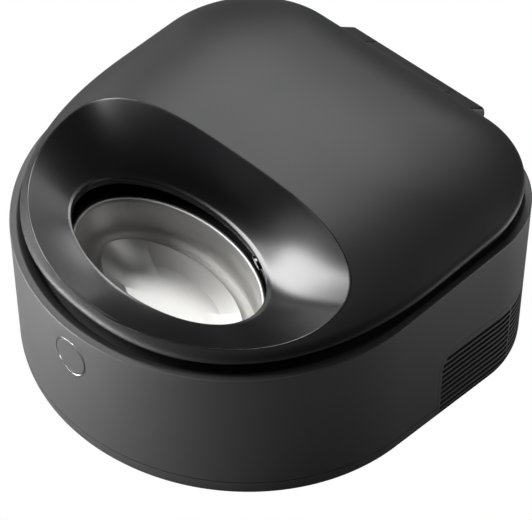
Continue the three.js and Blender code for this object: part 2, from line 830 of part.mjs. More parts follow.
// Insulation round and under the liner, open over the cold plate and the drive shaft
const foamTop = deckTop - deckThickness - seamGap;
const foamInner = linerRadius + seamGap;
const foamFloor = chamber.floor - chamber.wall - seamGap;
const foamBottom = foamFloor - insulationFloor;
const foam = turned([
  [shaft.bearing + seamGap, foamBottom],
  [foamInner + insulationWall, foamBottom],
  [foamInner + insulationWall, foamTop],
  [foamInner, foamTop],
  [foamInner, foamFloor],
  [shaft.bearing + seamGap, foamFloor],
  [shaft.bearing + seamGap, foamBottom],
], roundSegments);
const coldCut = block(
  2 * (cold.half + seamGap),
  2 * (cold.half + seamGap),
  insulationFloor + 2 * cutOverrun,
  cold.x,
  cold.y - axisY,
  foamBottom - cutOverrun,
);
piece('chamber_insulation', carve([foam], [coldCut]), 'foam', carousel);

// Cooling stack under the liner, on the deck's slope
const stack = new THREE.Group();
stack.position.set(cold.x, cold.y, 0);
deck.add(stack);
const coldTop = foamFloor;
const tileTop = coldTop - cold.thickness - seamGap;
const pedestalTop = tileTop - tile.thickness - seamGap;
const sinkTop = foamBottom - seamGap;
piece('cold_plate', block(
  2 * cold.half,
  2 * cold.half,
  cold.thickness,
  0,
  0,
  coldTop - cold.thickness,
), 'alloy', stack);
piece('thermoelectric_tile', block(
  2 * tile.half,
  2 * tile.half,
  tile.thickness,
  0,
  0,
  tileTop - tile.thickness,
), 'tile', stack);
const finPitch = (2 * sink.half - sink.fin) / (sink.finCount - 1);
const fins = Array.from({ length: sink.finCount }, (_, i) => block(
  2 * sink.half,
  sink.fin,
  sink.finHeight + sink.base / 2,
  0,
  -sink.half + sink.fin / 2 + i * finPitch,
  sinkTop - sink.base - sink.finHeight,
));
piece('heat_sink', carve([
  block(2 * sink.half, 2 * sink.half, sink.base, 0, 0, sinkTop - sink.base),
  block(
    2 * sink.pedestal,
    2 * sink.pedestal,
    pedestalTop - sinkTop + sink.base / 2,
    0,
    0,
    sinkTop - sink.base / 2,
  ),
  ...fins,
], []), 'alloy', stack);

// Fan behind the grille, its axle along X
const fanMount = new THREE.Group();
fanMount.position.set(fanX, fan.y, panTop + fanRise + fan.half);
feeder.add(fanMount);
const frameBlock = new THREE.BoxGeometry(fan.depth, 2 * fan.half, 2 * fan.half)
  .translate(fan.depth / 2, 0, 0);
const fanBore = alongX(rod(fan.bore, -cutOverrun, fan.depth + cutOverrun, knobSegments));
const webDepth = fan.depth * fanWebShare;
const strut = (angle) => new THREE.BoxGeometry(webDepth, fan.blade * 2, fan.bore * 2 + fan.blade)
  .rotateX(angle)
  .translate(webDepth / 2, 0, 0);
const fanScrewHoles = [[-1, -1], [-1, 1], [1, -1], [1, 1]].map(([sy, sz]) => alongX(
  rod(fanScrewHole, -cutOverrun, fan.depth + cutOverrun, fineSegments),
).translate(0, sy * fanScrew, sz * fanScrew));
const fanHousing = carve([
  carve([frameBlock], [fanBore]),
  strut(Math.PI / 4),
  strut(-Math.PI / 4),
  alongX(rod(fan.hub - fanAxle / 2, 0, webDepth)),
  alongX(rod(fanAxle / 2, webDepth / 2, fan.depth - webDepth * 2, fineSegments)),
], fanScrewHoles);
piece('fan_frame', fanHousing, 'inner', fanMount);
const rotorFrom = webDepth + runGap;
const rotorTo = fan.depth - runGap;
const blades = Array.from({ length: bladeCount }, (_, i) => new THREE.BoxGeometry(
  rotorTo - rotorFrom - 2 * bladeTrim,
  fan.blade,
  fan.tip - fan.hub + fan.blade,
).rotateZ(bladeTilt).translate((rotorFrom + rotorTo) / 2, 0, (fan.tip + fan.hub - fan.blade) / 2)
  .rotateX((2 * Math.PI * i) / bladeCount));
const rotorBlank = solid(alongX(rod(fan.tip, rotorFrom, rotorTo, knobSegments)));
let rotor = solid(alongX(rod(fan.hub, rotorFrom, rotorTo)));
for (const blade of blades) rotor = rotor.add(solid(blade));
rotor = rotor.intersect(rotorBlank).subtract(
  solid(alongX(rod(fanAxle / 2 + seamGap, -cutOverrun, fan.depth - webDepth * 2 + seamGap, fineSegments))),
);
piece('fan_rotor', geometryOf(rotor), 'inner', fanMount);

// Drive under the insulation: plate, gear motor and the shaft that turns the carousel
const plateTop = foamBottom - seamGap;
piece('motor_plate', tube(
  shaft.bearing + seamGap,
  motor.plateRadius,
  plateTop - motor.plate,
  plateTop,
  knobSegments,
), 'alloy', carousel);
const motorTop = plateTop - motor.plate - seamGap;
const bearingTop = foamBottom + insulationFloor - seamGap;
piece('drive_motor', turned([
  [0, motorTop - motor.height],
  [motor.radius, motorTop - motor.height],
  [motor.radius, motorTop],
  [shaft.bearing, motorTop],
  [shaft.bearing, bearingTop],
  [shaft.radius + seamGap, bearingTop],
  [shaft.radius + seamGap, motorTop - motor.shaftHole],
  [0, motorTop - motor.shaftHole],
], knobSegments), 'alloy', carousel);
const hubBottom = chamber.floor + hubFloorGap;
piece('drive_shaft', rod(
  shaft.radius,
  motorTop - motor.shaftHole + seamGap,
  hubBottom + shaft.top,
  fineSegments,
), 'steel', carousel);

// Carousel plate with three oval seats and a hub over the shaft
const plateHeight = bowl.rimTop - 2 * bowl.bead - seamGap;
const tableRadius = chamber.radius - tableRoom;
const platter = turned([
  [0, hubBottom],
  [turntable.hubRadius, hubBottom],
  [turntable.hubRadius, plateHeight - turntable.thickness],
  [tableRadius - turntable.skirtWall, plateHeight - turntable.thickness],
  [tableRadius - turntable.skirtWall, plateHeight - turntable.skirt],
  [tableRadius, plateHeight - turntable.skirt],
  [tableRadius, plateHeight],
  [0, plateHeight],
], roundSegments);
const seatCuts = Array.from({ length: bowlCount }, (_, i) => prism(
  oval(bowlOval, turntable.land, bowlSegments),
  plateHeight - turntable.thickness - cutOverrun,
  plateHeight + cutOverrun,
).rotateZ((2 * Math.PI * i) / bowlCount));
const shaftBore = rod(
  shaft.radius + pinBore,
  hubBottom - cutOverrun,
  hubBottom + shaft.top + seamGap,
  fineSegments,
);
piece('turntable', carve([platter], [...seatCuts, shaftBore]), 'inner', carousel);

// Steel bowls: drawn oval cups with a rolled rim
const bowlBottom = bowl.rimTop - bowl.depth;
const beadCentre = bowl.rimTop - bowl.bead;
const neck = 2 * bowl.bead;
const outerFoot = neck + bowl.draft;
function bowlRing(inset, height) {
  return ring(oval(bowlOval, inset, bowlSegments), level(height));
}
const bowlRings = [];
for (let i = bowlSteps; i >= 0; i -= 1) {
  const angle = (Math.PI / 2) * (i / bowlSteps);
  bowlRings.push(bowlRing(
    outerFoot + bowl.round * (1 - Math.cos(angle)),
    bowlBottom + bowl.round * (1 - Math.sin(angle)),
  ));
}
bowlRings.push(bowlRing(neck, beadCentre - bowl.bead / 2));
for (const degrees of beadDegrees) {
  const angle = THREE.MathUtils.degToRad(degrees);
  bowlRings.push(bowlRing(bowl.bead * (1 - Math.cos(angle)), beadCentre + bowl.bead * Math.sin(angle)));
}
bowlRings.push(bowlRing(neck + bowl.wall, beadCentre));
for (let i = 0; i <= bowlSteps; i += 1) {
  const angle = (Math.PI / 2) * (i / bowlSteps);
  bowlRings.push(bowlRing(
    outerFoot + bowl.wall + (bowl.round - bowl.wall) * (1 - Math.cos(angle)),
    bowlBottom + bowl.wall + (bowl.round - bowl.wall) * (1 - Math.sin(angle)),
  ));
}
const bowlShell = skin(bowlRings, [
  new THREE.Vector3(0, -bowlOrbit, bowlBottom),
  new THREE.Vector3(0, -bowlOrbit, bowlBottom + bowl.wall),
]);
for (let i = 0; i < bowlCount; i += 1) {
  piece(`bowl_${i + 1}`, bowlShell.clone().rotateZ((2 * Math.PI * i) / bowlCount), 'steel', carousel);
}

// How far a place is from the lid's middle, as a share of the way to the outline
const lidPlan = (inset) => outline(lid, inset);
const lidEdge = lidPlan(0).map((p) => new THREE.Vector2(p.x, p.y - lidMiddle));
function lidShare(x, y) {
  const toward = new THREE.Vector2(x, y - lidMiddle);
  for (let i = 0; i < lidEdge.length; i += 1) {
    const from = lidEdge[i];
    const span = lidEdge[(i + 1) % lidEdge.length].clone().sub(from);
    const facing = toward.cross(span);
    const reach = from.cross(span) / facing;
    const along = from.cross(toward) / facing;
    if (facing !== 0 && reach > 0 && along >= 0 && along <= 1) return Math.min(1 / reach, 1);
  }
  return 0;
}

// Height of the lid's top over the deck's plane: nearly flat in the middle, falling ever faster to the rim
function lidTop(x, y) {
  return lidRim + lidCrown * (1 - lidShare(x, y) ** lidCrownPower);
}

// Lid shell: crowned skin, rounded rim, and the arm that carries the middle of the hinge
const crownShares = [0.35, 0.55, 0.68, 0.79, 0.88, 0.95];
const undersideShares = [0.45, 0.72, 0.9];
function shrunk(plan, share) {
  return plan.map((p) => new THREE.Vector2(p.x * share, lidMiddle + (p.y - lidMiddle) * share));
}
const under = (drop) => (x, y) => lidTop(x, y) - drop;
const rimStart = lidPlan(lidRound).map((p) => lidTop(p.x, p.y));
const rimRings = Array.from({ length: arcSteps + 1 }, (_, i) => {
  const turn = i / arcSteps;
  return lidPlan(lidRound * (1 - turn) ** 2).map((p, k) => {
    const upper = THREE.MathUtils.lerp(rimStart[k], lidRim, turn);
    const lower = THREE.MathUtils.lerp(lidRim, lidChamfer, turn);
    return new THREE.Vector3(p.x, p.y, THREE.MathUtils.lerp(upper, lower, turn));
  });
});
const insideRound = lidRound + lidSkin;
const inwards = undersideShares.slice().reverse();
const lidSkinShape = skin([
  ...crownShares.map((share) => ring(shrunk(lidPlan(lidRound), share), under(0))),
  ...rimRings,
  ring(lidPlan(lidChamfer), level(0)),
  ring(lidPlan(lidWall), level(0)),
  ring(lidPlan(lidWall), under(lidSkin)),
  ring(lidPlan(insideRound), under(lidSkin)),
  ...inwards.map((share) => ring(shrunk(lidPlan(insideRound), share), under(lidSkin))),
], [centre(under(0), lidMiddle), centre(under(lidSkin), lidMiddle)]);

const hingeOnDeck = {
  y: hinge.y * Math.cos(deckSlope) + (hinge.z - deckHeight) * Math.sin(deckSlope),
  z: (hinge.z - deckHeight) * Math.cos(deckSlope) - hinge.y * Math.sin(deckSlope),
};
const armProfile = [
  [lid.back - lidWall + seamGap, lidRim / 2],
  [lid.back + seamGap, lidRim - lidRound / 2],
  ...barrelArc(hingeOnDeck.y, hingeOnDeck.z, hinge.armDegrees),
  [hingeOnDeck.y - hinge.radius, -panelDrop],
  [lid.back - lidWall + seamGap, seamGap],
];
const deckPinBores = [-1, 1].map((side) => alongX(
  rod(pinRadius + pinBore, Math.min(side * (pinInner - seamGap), side * pinOuter),
    Math.max(side * (pinInner - seamGap), side * pinOuter), fineSegments),
).translate(0, hingeOnDeck.y, hingeOnDeck.z));
const lowest = -lipHeight - panelDrop;
const highest = lidRim + lidCrown + cutOverrun;
const dishHole = prism(oval(dish, -seamGap), lowest, highest);
piece('lid_shell', carve(
  [lidSkinShape, hingeSection(armProfile, -hinge.innerHalf, hinge.innerHalf)],
  [dishHole, ...deckPinBores],
), 'shell', deck);

[-1, 1].forEach((side, i) => {
  const from = Math.min(side * pinInner, side * pinOuter);
  const to = Math.max(side * pinInner, side * pinOuter);
  piece(`hinge_pin_${i ? 'right' : 'left'}`, atHinge(rod(pinRadius, from, to, fineSegments)), 'steel');
});

// Dish: a funnel from the lid's surface down to the opening, with an upright lip
const dishShares = [0, 0.12, 0.3, 0.52, 0.78];
const dishEdge = oval(dish, 0);
const mouthEdge = oval(openingOval, -openingRound);
function dishRing(share, drop, edge = dishEdge) {
  return edge.map((p, i) => {
    const x = THREE.MathUtils.lerp(p.x, mouthEdge[i].x, share);
    const y = THREE.MathUtils.lerp(p.y, mouthEdge[i].y, share);
    const rise = (lidTop(dishEdge[i].x, dishEdge[i].y) - opening.height) * (1 - share) ** dishPower;
    return new THREE.Vector3(x, y, opening.height + rise - drop);
  });
}
const lipBottom = opening.height - lipHeight;
const eased = openingRound * (1 - Math.SQRT1_2);
const skirtEdge = oval(dish, dishSkin);
const dishShape = skin([
  ...dishShares.map((share) => dishRing(share, 0)),
  ring(mouthEdge, level(opening.height)),
  ring(oval(openingOval, -eased), level(opening.height - eased)),
  ring(oval(openingOval, 0), level(opening.height - openingRound)),
  ring(oval(openingOval, 0), level(lipBottom)),
  ring(oval(openingOval, -lipWall), level(lipBottom)),
  ring(oval(openingOval, -lipWall), level(opening.height - dishSkin)),
  ...dishShares.slice(1).reverse().map((share) => dishRing(share, dishSkin)),
  skirtEdge.map((p) => new THREE.Vector3(p.x, p.y, lidTop(p.x, p.y) - dishSkirt)),
  dishEdge.map((p) => new THREE.Vector3(p.x, p.y, lidTop(p.x, p.y) - dishSkirt)),
]);
const sensorAngle = THREE.MathUtils.degToRad(sensor.angleDegrees);
const sensorPlace = new THREE.Vector2(
  opening.halfWidth * Math.cos(sensorAngle),
  opening.middle + opening.half * Math.sin(sensorAngle),
);
const sensorLean = Math.atan2(
  Math.sin(sensorAngle) / opening.half,
  Math.cos(sensorAngle) / opening.halfWidth,
);
function sensorLens(margin, from, to) {
  return turned([[0, from], [sensor.halfWidth + margin, from], [sensor.halfWidth + margin, to], [0, to]])
    .scale(1, (sensor.halfHeight + margin) / (sensor.halfWidth + margin), 1)
    .rotateX(Math.PI / 2)
    .rotateZ(Math.PI / 2 + sensorLean)
    .translate(sensorPlace.x, sensorPlace.y, opening.height - lipHeight / 2 - openingRound / 2);
}
piece('lid_dish', carve([dishShape], [sensorLens(seamGap, -lipWall - dishSkin, sensor.depth)]), 'dish', deck);
piece('sensor_window', sensorLens(0, -lipWall, 0), 'lens', deck);

// Inner panel closes the lid from below; its edge slopes down and in to make the groove
const panelOuter = lidWall + seamGap;
const panelShape = skin([
  ring(lidPlan(panelEdge), level(-panelDrop)),
  ring(lidPlan(panelOuter), level(0)),
  ring(lidPlan(panelOuter), level(panelRise)),
  ring(lidPlan(panelOuter + panelThickness), level(panelRise)),
  ring(lidPlan(panelEdge), level(panelThickness - panelDrop)),
], [centre(level(-panelDrop), lidMiddle), centre(level(panelThickness - panelDrop), lidMiddle)]);
const panelCuts = [
  prism(dishEdge.map((p, i) => p.clone().lerp(mouthEdge[i], panelMouthShare)), lowest, highest),
  rod(shutterShaft + runGap, lowest, highest).translate(0, axisY, 0),
];
piece('lid_inner_panel', carve([panelShape], panelCuts), 'inner', deck);

// Gasket between the inner panel and the liner's flange
const gasketTop = -panelDrop - seamGap;
const gasketBottom = flangeTop + seamGap;
const gasketTip = linerRadius + gasketWidth / 2;
piece('lid_gasket', turned([
  [linerRadius, gasketTop],
  [gasketTip - gasketLip / 2, gasketBottom],
  [gasketTip + gasketLip / 2, gasketBottom],
  [linerRadius + gasketWidth, gasketTop],
  [linerRadius, gasketTop],
], roundSegments), 'rubber', carousel);

// Shutter: a sector that turns under the lid and covers the opening between meals
const shutterTop = lipBottom - shutter.gap;
const shutterBottom = shutterTop - shutter.thickness;
function sector(radius, spanDegrees) {
  const half = THREE.MathUtils.degToRad(spanDegrees) / 2;
  const points = [new THREE.Vector2(0, 0)];
  for (let i = 0; i <= sectorSteps; i += 1) {
    const angle = -Math.PI / 2 - half + (2 * half * i) / sectorSteps;
    points.push(new THREE.Vector2(radius * Math.cos(angle), radius * Math.sin(angle)));
  }
  return points;
}
const shutterGroup = new THREE.Group();
shutterGroup.rotation.z = -THREE.MathUtils.degToRad(shutter.restDegrees);
carousel.add(shutterGroup);
const shutterStem = -panelDrop + panelThickness + seamGap;
piece('rotary_shutter', carve([
  prism(sector(chamber.radius - shutterRoom, shutter.spanDegrees), shutterBottom, shutterTop),
  rod(shutter.hub, shutterBottom - shutter.lift, -panelDrop - runGap, knobSegments),
  rod(shutterShaft, shutterBottom, shutterStem + lidMotor.height / 2, fineSegments),
], []), 'inner', shutterGroup);

// Motor for the shutter, on the inner panel and under the lid's skin
piece('shutter_motor', turned([
  [shutterShaft + seamGap, shutterStem],
  [lidMotor.radius, shutterStem],
  [lidMotor.radius, shutterStem + lidMotor.height],
  [0, shutterStem + lidMotor.height],
  [0, shutterStem + lidMotor.height / 2 + seamGap],
  [shutterShaft + seamGap, shutterStem + lidMotor.height / 2 + seamGap],
  [shutterShaft + seamGap, shutterStem],
]), 'alloy', carousel);

// Control board with its parts
const boardBottom = panTop + boardPost.height + seamGap;
const boardTop = boardBottom + board.thickness;
piece('control_board', carve([
  block(board.length, board.width, board.thickness, 0, 0, boardBottom),
  ...chips.map((chip) => block(
    chip.length,
    chip.width,
    chip.height + board.thickness / 2,
    chip.x,
    chip.y,
    boardTop - board.thickness / 2,
  )),
], []).translate(boardX, board.y, 0), 'board');

// Front button, its bezel and its switch; each is built along its travel and set into the front wall
const front = new THREE.Group();
front.position.set(0, 0, buttonZ);
feeder.add(front);
const wallFace = solid(prism(housingPlan(seamGap / 2), 0, deckHeight)).translate([0, 0, -buttonZ]);
const flush = (geometry) => geometryOf(solid(alongY(geometry)).intersect(wallFace));
const capBack = body.front + button.cap;
const cupBack = body.front + bezel.sleeve;
const flangeFront = body.front + bezel.setBack;
piece('front_button', flush(turned([
  [0, body.front - cutOverrun],
  [button.radius, body.front - cutOverrun],
  [button.radius, capBack],
  [button.stem, capBack],
  [button.stem, cupBack],
  [0, cupBack],
], knobSegments)), 'shell', front);
const sleeveInner = button.radius + button.gap;
const bezelRing = flush(turned([
  [sleeveInner, body.front - cutOverrun],
  [button.ring, body.front - cutOverrun],
  [button.ring, flangeFront],
  [bezel.flange, flangeFront],
  [bezel.flange, flangeFront + bezel.flangeThickness],
  [button.ring, flangeFront + bezel.flangeThickness],
  [button.ring, cupBack],
  [button.stem + seamGap, cupBack],
  [button.stem + seamGap, cupBack - bezel.back],
  [sleeveInner, cupBack - bezel.back],
  [sleeveInner, body.front - cutOverrun],
], knobSegments));
const plungerFront = cupBack + button.travel + seamGap;
const switchFront = plungerFront + buttonSwitch.plungerLength;
const switchBack = switchFront + buttonSwitch.body;
const postPlace = buttonSwitch.plate - bezelPost.inset;
const bezelPosts = [-1, 1].map((side) => alongY(rod(
  bezelPost.radius,
  cupBack - bezel.back / 2,
  switchBack - seamGap,
  fineSegments,
)).translate(side * postPlace, 0, 0));
piece('button_bezel', carve([bezelRing, ...bezelPosts], []), 'ring', front);

piece('button_switch', carve([
  alongY(rod(buttonSwitch.plunger, plungerFront, switchFront + buttonSwitch.body / 2, fineSegments)),
  new THREE.BoxGeometry(
    2 * buttonSwitch.half,
    buttonSwitch.body + buttonSwitch.plateThickness,
    2 * buttonSwitch.half,
  ).translate(0, (switchFront + switchBack + buttonSwitch.plateThickness) / 2, 0),
  new THREE.BoxGeometry(2 * buttonSwitch.plate, buttonSwitch.plateThickness, 2 * buttonSwitch.plate)
    .translate(0, switchBack + buttonSwitch.plateThickness / 2, 0),
], []), 'board', front);

// Power socket in the back wall
const socketFront = body.back - bodyWall - seamGap;
piece('power_inlet', carve([
  alongY(turned([
    [inlet.bore, socketFront],
    [inlet.flange, socketFront],
    [inlet.flange, socketFront - inlet.flangeThickness],
    [inlet.radius, socketFront - inlet.flangeThickness],
    [inlet.radius, socketFront - inlet.length],
    [0, socketFront - inlet.length],
    [0, socketFront - inlet.length + inlet.flangeThickness],
    [inlet.bore, socketFront - inlet.length + inlet.flangeThickness],
    [inlet.bore, socketFront],
  ])),
  alongY(tube(inlet.bore, inlet.radius, socketFront - inlet.flangeThickness, body.back - shoulderRound / 2)),
  alongY(rod(
    inlet.pin,
    socketFront - inlet.length + inlet.flangeThickness / 2,
    body.back - bodyWall,
    fineSegments,
  )),
], []).translate(inlet.x, 0, inlet.z), 'inner');

export default feeder;
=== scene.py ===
import json
import bpy
import numpy as np
from mathutils import Matrix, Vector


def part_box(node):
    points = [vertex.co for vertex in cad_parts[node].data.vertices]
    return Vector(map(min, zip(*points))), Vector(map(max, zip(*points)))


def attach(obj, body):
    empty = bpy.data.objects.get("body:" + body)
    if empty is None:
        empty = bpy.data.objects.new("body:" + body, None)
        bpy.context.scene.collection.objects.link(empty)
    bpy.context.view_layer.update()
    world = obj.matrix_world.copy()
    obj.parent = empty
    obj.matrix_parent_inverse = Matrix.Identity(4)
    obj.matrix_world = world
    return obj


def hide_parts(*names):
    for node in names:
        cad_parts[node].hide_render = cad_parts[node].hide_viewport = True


# Cooled wet food feeder. Shapes are worked out in millimetres and written as metres.
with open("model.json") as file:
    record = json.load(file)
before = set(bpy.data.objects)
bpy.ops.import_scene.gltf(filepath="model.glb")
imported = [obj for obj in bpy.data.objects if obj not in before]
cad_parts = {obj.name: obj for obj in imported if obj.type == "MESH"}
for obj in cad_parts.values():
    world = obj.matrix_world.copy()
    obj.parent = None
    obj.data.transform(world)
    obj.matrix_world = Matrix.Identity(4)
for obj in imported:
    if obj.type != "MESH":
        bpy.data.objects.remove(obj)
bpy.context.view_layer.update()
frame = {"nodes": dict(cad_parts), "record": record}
nodes = frame["nodes"]
mm = 0.001
print("frame loaded:", len(nodes), "nodes")

# The deck slopes up to the back. The turntable's axis stands square to it.
deck = {"height": 136.75, "slope": np.radians(6.56), "axisY": -4.0}
deckCos, deckSin = np.cos(deck["slope"]), np.sin(deck["slope"])


# Turns points on the sloping deck, heights square to it, into points over the floor:
# y = v cos - w sin, z = height + v sin + w cos, with v along the deck and w square to it.
def ontoDeck(points):
    x, v, w = np.moveaxis(points, -1, 0)
    return np.stack([x, v * deckCos - w * deckSin, deck["height"] + v * deckSin + w * deckCos], -1)


# The same for points round the turntable's axis
def onCarousel(points):
    return ontoDeck(points + [0, deck["axisY"], 0])


# Six times a closed surface's volume is the sum over triangles of corner . (corner x corner).
def volumeOf(points, triangles):
    a, b, c = (points[triangles[:, k]] for k in range(3))
    return np.einsum("ij,ij->i", a, np.cross(b, c)).sum() / 6


# Points are in millimetres. An edge sharper than the crease, in degrees, stays hard.
def addPiece(name, points, faces, crease=30):
    mesh = bpy.data.meshes.new(name)
    mesh.from_pydata((points * mm).tolist(), [], faces)
    mesh.validate()
    mesh.shade_smooth()
    mesh.set_sharp_from_angle(angle=np.radians(crease))
    piece = bpy.data.objects.new(name, mesh)
    bpy.context.scene.collection.objects.link(piece)
    return piece


# Corner rings are eased by a parabola each: from u before the corner to u after it,
# point = (1-s)^2 before + 2s(1-s) corner + s^2 after, for every point of the ring at once.
# The easing takes up less than half of the way to either neighbour.
easing = {"share": 0.49, "least": 1e-9}


def easeRings(corners, closed, steps):
    rings = [ring for ring, _ in corners]
    count = len(rings)
    eased = []
    for i, (corner, rounding) in enumerate(corners):
        atEnd = not closed and i in (0, count - 1)
        if atEnd or rounding <= 0:
            eased.append(corner)
            continue
        before = rings[i - 1] - corner
        after = rings[(i + 1) % count] - corner
        spanBefore = np.linalg.norm(before, axis=1, keepdims=True) + easing["least"]
        spanAfter = np.linalg.norm(after, axis=1, keepdims=True) + easing["least"]
        cut = np.minimum(rounding, easing["share"] * np.minimum(spanBefore, spanAfter))
        start = corner + before / spanBefore * cut
        end = corner + after / spanAfter * cut
        for s in np.linspace(0, 1, steps):
            eased.append((1 - s) ** 2 * start + 2 * s * (1 - s) * corner + s ** 2 * end)
    return eased


# Joins rings of equal length into quads. A closed loft joins its last ring to its first,
# and any other loft is shut by a fan from the middle of each end ring.
def loft(name, rings, closed=False, crease=30):
    grid = np.stack(rings)
    rows, count = grid.shape[:2]
    points = grid.reshape(-1, 3)
    row = np.arange(rows if closed else rows - 1)[:, None]
    col = np.arange(count)[None, :]
    nextRow, nextCol = (row + 1) % rows, (col + 1) % count
    quads = np.stack([row * count + col, row * count + nextCol,
                      nextRow * count + nextCol, nextRow * count + col], -1).reshape(-1, 4)
    triangles = np.vstack([quads[:, [0, 1, 2]], quads[:, [0, 2, 3]]])
    fans = np.zeros((0, 3), int)
    if not closed:
        around, ahead = np.arange(count), (np.arange(count) + 1) % count
        first, last = len(points), len(points) + 1
        points = np.vstack([points, grid[0].mean(0), grid[-1].mean(0)])
        fans = np.vstack([np.column_stack([np.full(count, first), ahead, around]),
                          np.column_stack([np.full(count, last), (rows - 1) * count + around,
                                           (rows - 1) * count + ahead])])
    if volumeOf(points, np.vstack([triangles, fans])) < 0:
        quads, fans = quads[:, ::-1], fans[:, ::-1]
    return addPiece(name, points, quads.tolist() + fans.tolist(), crease)


def softLoft(name, corners, closed=False, steps=5):
    return loft(name, easeRings(corners, closed, steps), closed)


# Cuts cutter pieces out of a piece, and removes them.
def cutAway(piece, cutters, crease=30):
    for cutter in cutters:
        cut = piece.modifiers.new("cut", "BOOLEAN")
        cut.operation, cut.solver, cut.object = "DIFFERENCE", "EXACT", cutter
    bpy.context.view_layer.update()
    shaped = bpy.data.meshes.new_from_object(piece.evaluated_get(bpy.context.evaluated_depsgraph_get()))
    piece.modifiers.clear()
    piece.data = shaped
    shaped.shade_smooth()
    shaped.set_sharp_from_angle(angle=np.radians(crease))
    for cutter in cutters:
        bpy.data.objects.remove(cutter)
    return piece


# A ring round an upright axis: x = radius cos a, y = radius sin a, at one height
def circle(radius, height, steps):
    a = np.linspace(0, 2 * np.pi, steps, endpoint=False)
    return np.stack([radius * np.cos(a), radius * np.sin(a), np.full(steps, float(height))], -1)


# A piece turned from corners given as radius, height and rounding, and then put in its place
def turned(name, profile, place, closed=True, steps=160):
    corners = [(place(circle(radius, height, steps)), rounding) for radius, height, rounding in profile]
    return softLoft(name, corners, closed, steps=4)


# Number of points along each stretch of an outline, and the housing's plan
outlineSteps = {"back": 10, "corner": 30, "side": 10, "front": 56}
body = {"halfWidth": 158.85, "back": 150.25, "corner": 70.5, "shoulder": -15.5, "front": -165.25,
        "power": 2.0}


# Half of the outline runs along the straight back, round the rear corner (an arc), down the side and along
# the front, a superellipse |x/a|^n + |y/b|^n = 1. Insets go along its normal. The other half mirrors it.
def outline(shape, inset):
    width, back, radius = shape["halfWidth"], shape["back"], shape["corner"]
    shoulder, power = shape["shoulder"], shape["power"]
    depth = shoulder - shape["front"]
    t = np.linspace(0, 1, outlineSteps["back"], endpoint=False)
    backLine = np.column_stack([t * (width - radius), np.full_like(t, back - inset)])
    a = np.radians(90) * (1 - np.linspace(0, 1, outlineSteps["corner"], endpoint=False))
    bend = np.column_stack([width - radius + (radius - inset) * np.cos(a),
                            back - radius + (radius - inset) * np.sin(a)])
    t = np.linspace(0, 1, outlineSteps["side"], endpoint=False)
    side = np.column_stack([np.full_like(t, width - inset), back - radius + t * (shoulder - back + radius)])
    a = np.linspace(0, 0.5 * np.pi, outlineSteps["front"] + 1)
    across = np.clip(np.cos(a), 0, 1) ** (2 / power)
    along = np.sin(a) ** (2 / power)
    lean = np.column_stack([across ** (power - 1) / width, -along ** (power - 1) / depth])
    lean /= np.linalg.norm(lean, axis=1, keepdims=True)
    front = np.column_stack([width * across, shoulder - depth * along]) - inset * lean
    front[-1, 0] = 0
    half = np.vstack([backLine, bend, side, front])
    return np.vstack([half, half[-2:0:-1] * [-1, 1]])


# A plan outline at one height
def level(plan, z):
    return np.column_stack([plan, np.full(len(plan), float(z))])


# An outline seen from above, at a height square to the deck: z = height + square/cos + y tan
def overDeck(plan, square):
    return np.column_stack([plan, deck["height"] + square / deckCos + plan[:, 1] * deckSin / deckCos])


def bodyRing(inset, z):
    return level(outline(body, inset), z)


# The ring round the lid slopes less than the deck: z = top - drop + y tan(slope)
def shoulderRing(inset, drop):
    plan = outline(body, inset)
    return np.column_stack([plan, shell["top"] - drop + plan[:, 1] * np.tan(shell["slope"])])


# Outer housing: wall, sloping ring, groove under the lid's rim, and the deck with its round hole
shell = {"top": 125.7, "slope": np.radians(4.7), "wall": 2.6, "seam": 18.3, "gap": 0.3, "ring": 5.0,
         "groove": 6.0, "drop": 4.0, "rise": 3.5, "deckTop": -15.5, "deckThickness": 2.4, "hole": 130.05}
drill = {"outside": 5.0, "buttonDepth": 12.0, "inletDepth": 8.0, "steps": 96}


# A circle with as many points as an outline, each in the direction of its outline point from the axis
def matchedCircle(radius, plan, height):
    toward = plan - [0, deck["axisY"]]
    a = np.arctan2(toward[:, 1], toward[:, 0])
    return onCarousel(level(np.column_stack([radius * np.cos(a), radius * np.sin(a)]), height))


def makeHousing():
    gap, grooveEnd = shell["gap"], shell["ring"] + shell["groove"]
    plan = outline(body, grooveEnd + shell["rise"])
    deckBottom = shell["deckTop"] - shell["deckThickness"]
    housing = softLoft("outerHousing", [
        (bodyRing(0, shell["seam"] + gap / 2), 0.5),
        (shoulderRing(0, 0), 0.9),
        (shoulderRing(shell["ring"], 0), 0.9),
        (shoulderRing(grooveEnd, shell["drop"]), 1.2),
        (overDeck(plan, shell["deckTop"]), 1.2),
        (matchedCircle(shell["hole"], plan, shell["deckTop"]), 0.5),
        (matchedCircle(shell["hole"], plan, deckBottom), 0.3),
        (overDeck(plan, deckBottom), 0),
        (shoulderRing(grooveEnd, shell["drop"] + shell["deckThickness"]), 0),
        (shoulderRing(shell["wall"], shell["drop"] + shell["deckThickness"]), 0),
        (bodyRing(shell["wall"], shell["seam"] + gap / 2), 0.3),
    ], closed=True)
    buttonHole = rodAlongY("buttonHole", button["ring"] + gap, body["front"] - drill["outside"],
                           body["front"] + drill["buttonDepth"], (0, button["z"]))
    inletHole = rodAlongY("inletHole", inlet["radius"] + gap, body["back"] - drill["inletDepth"],
                          body["back"] + drill["outside"], (inlet["x"], inlet["z"]))
    notch = rodAlongX("barrelNotch", hinge["radius"] + hinge["gap"], hinge["inner"] + hinge["gap"])
    return cutAway(housing, [buttonHole, inletHole, notch, grilleOpening()])


# A rod along Y round a point (x, z), and one along X round the hinge's axis
def rodAlongY(name, radius, fromY, toY, centre):
    rings = [circle(radius, y, drill["steps"]) for y in (fromY, toY)]
    return loft(name, [np.column_stack([r[:, 0] + centre[0], r[:, 2], r[:, 1] + centre[1]]) for r in rings])


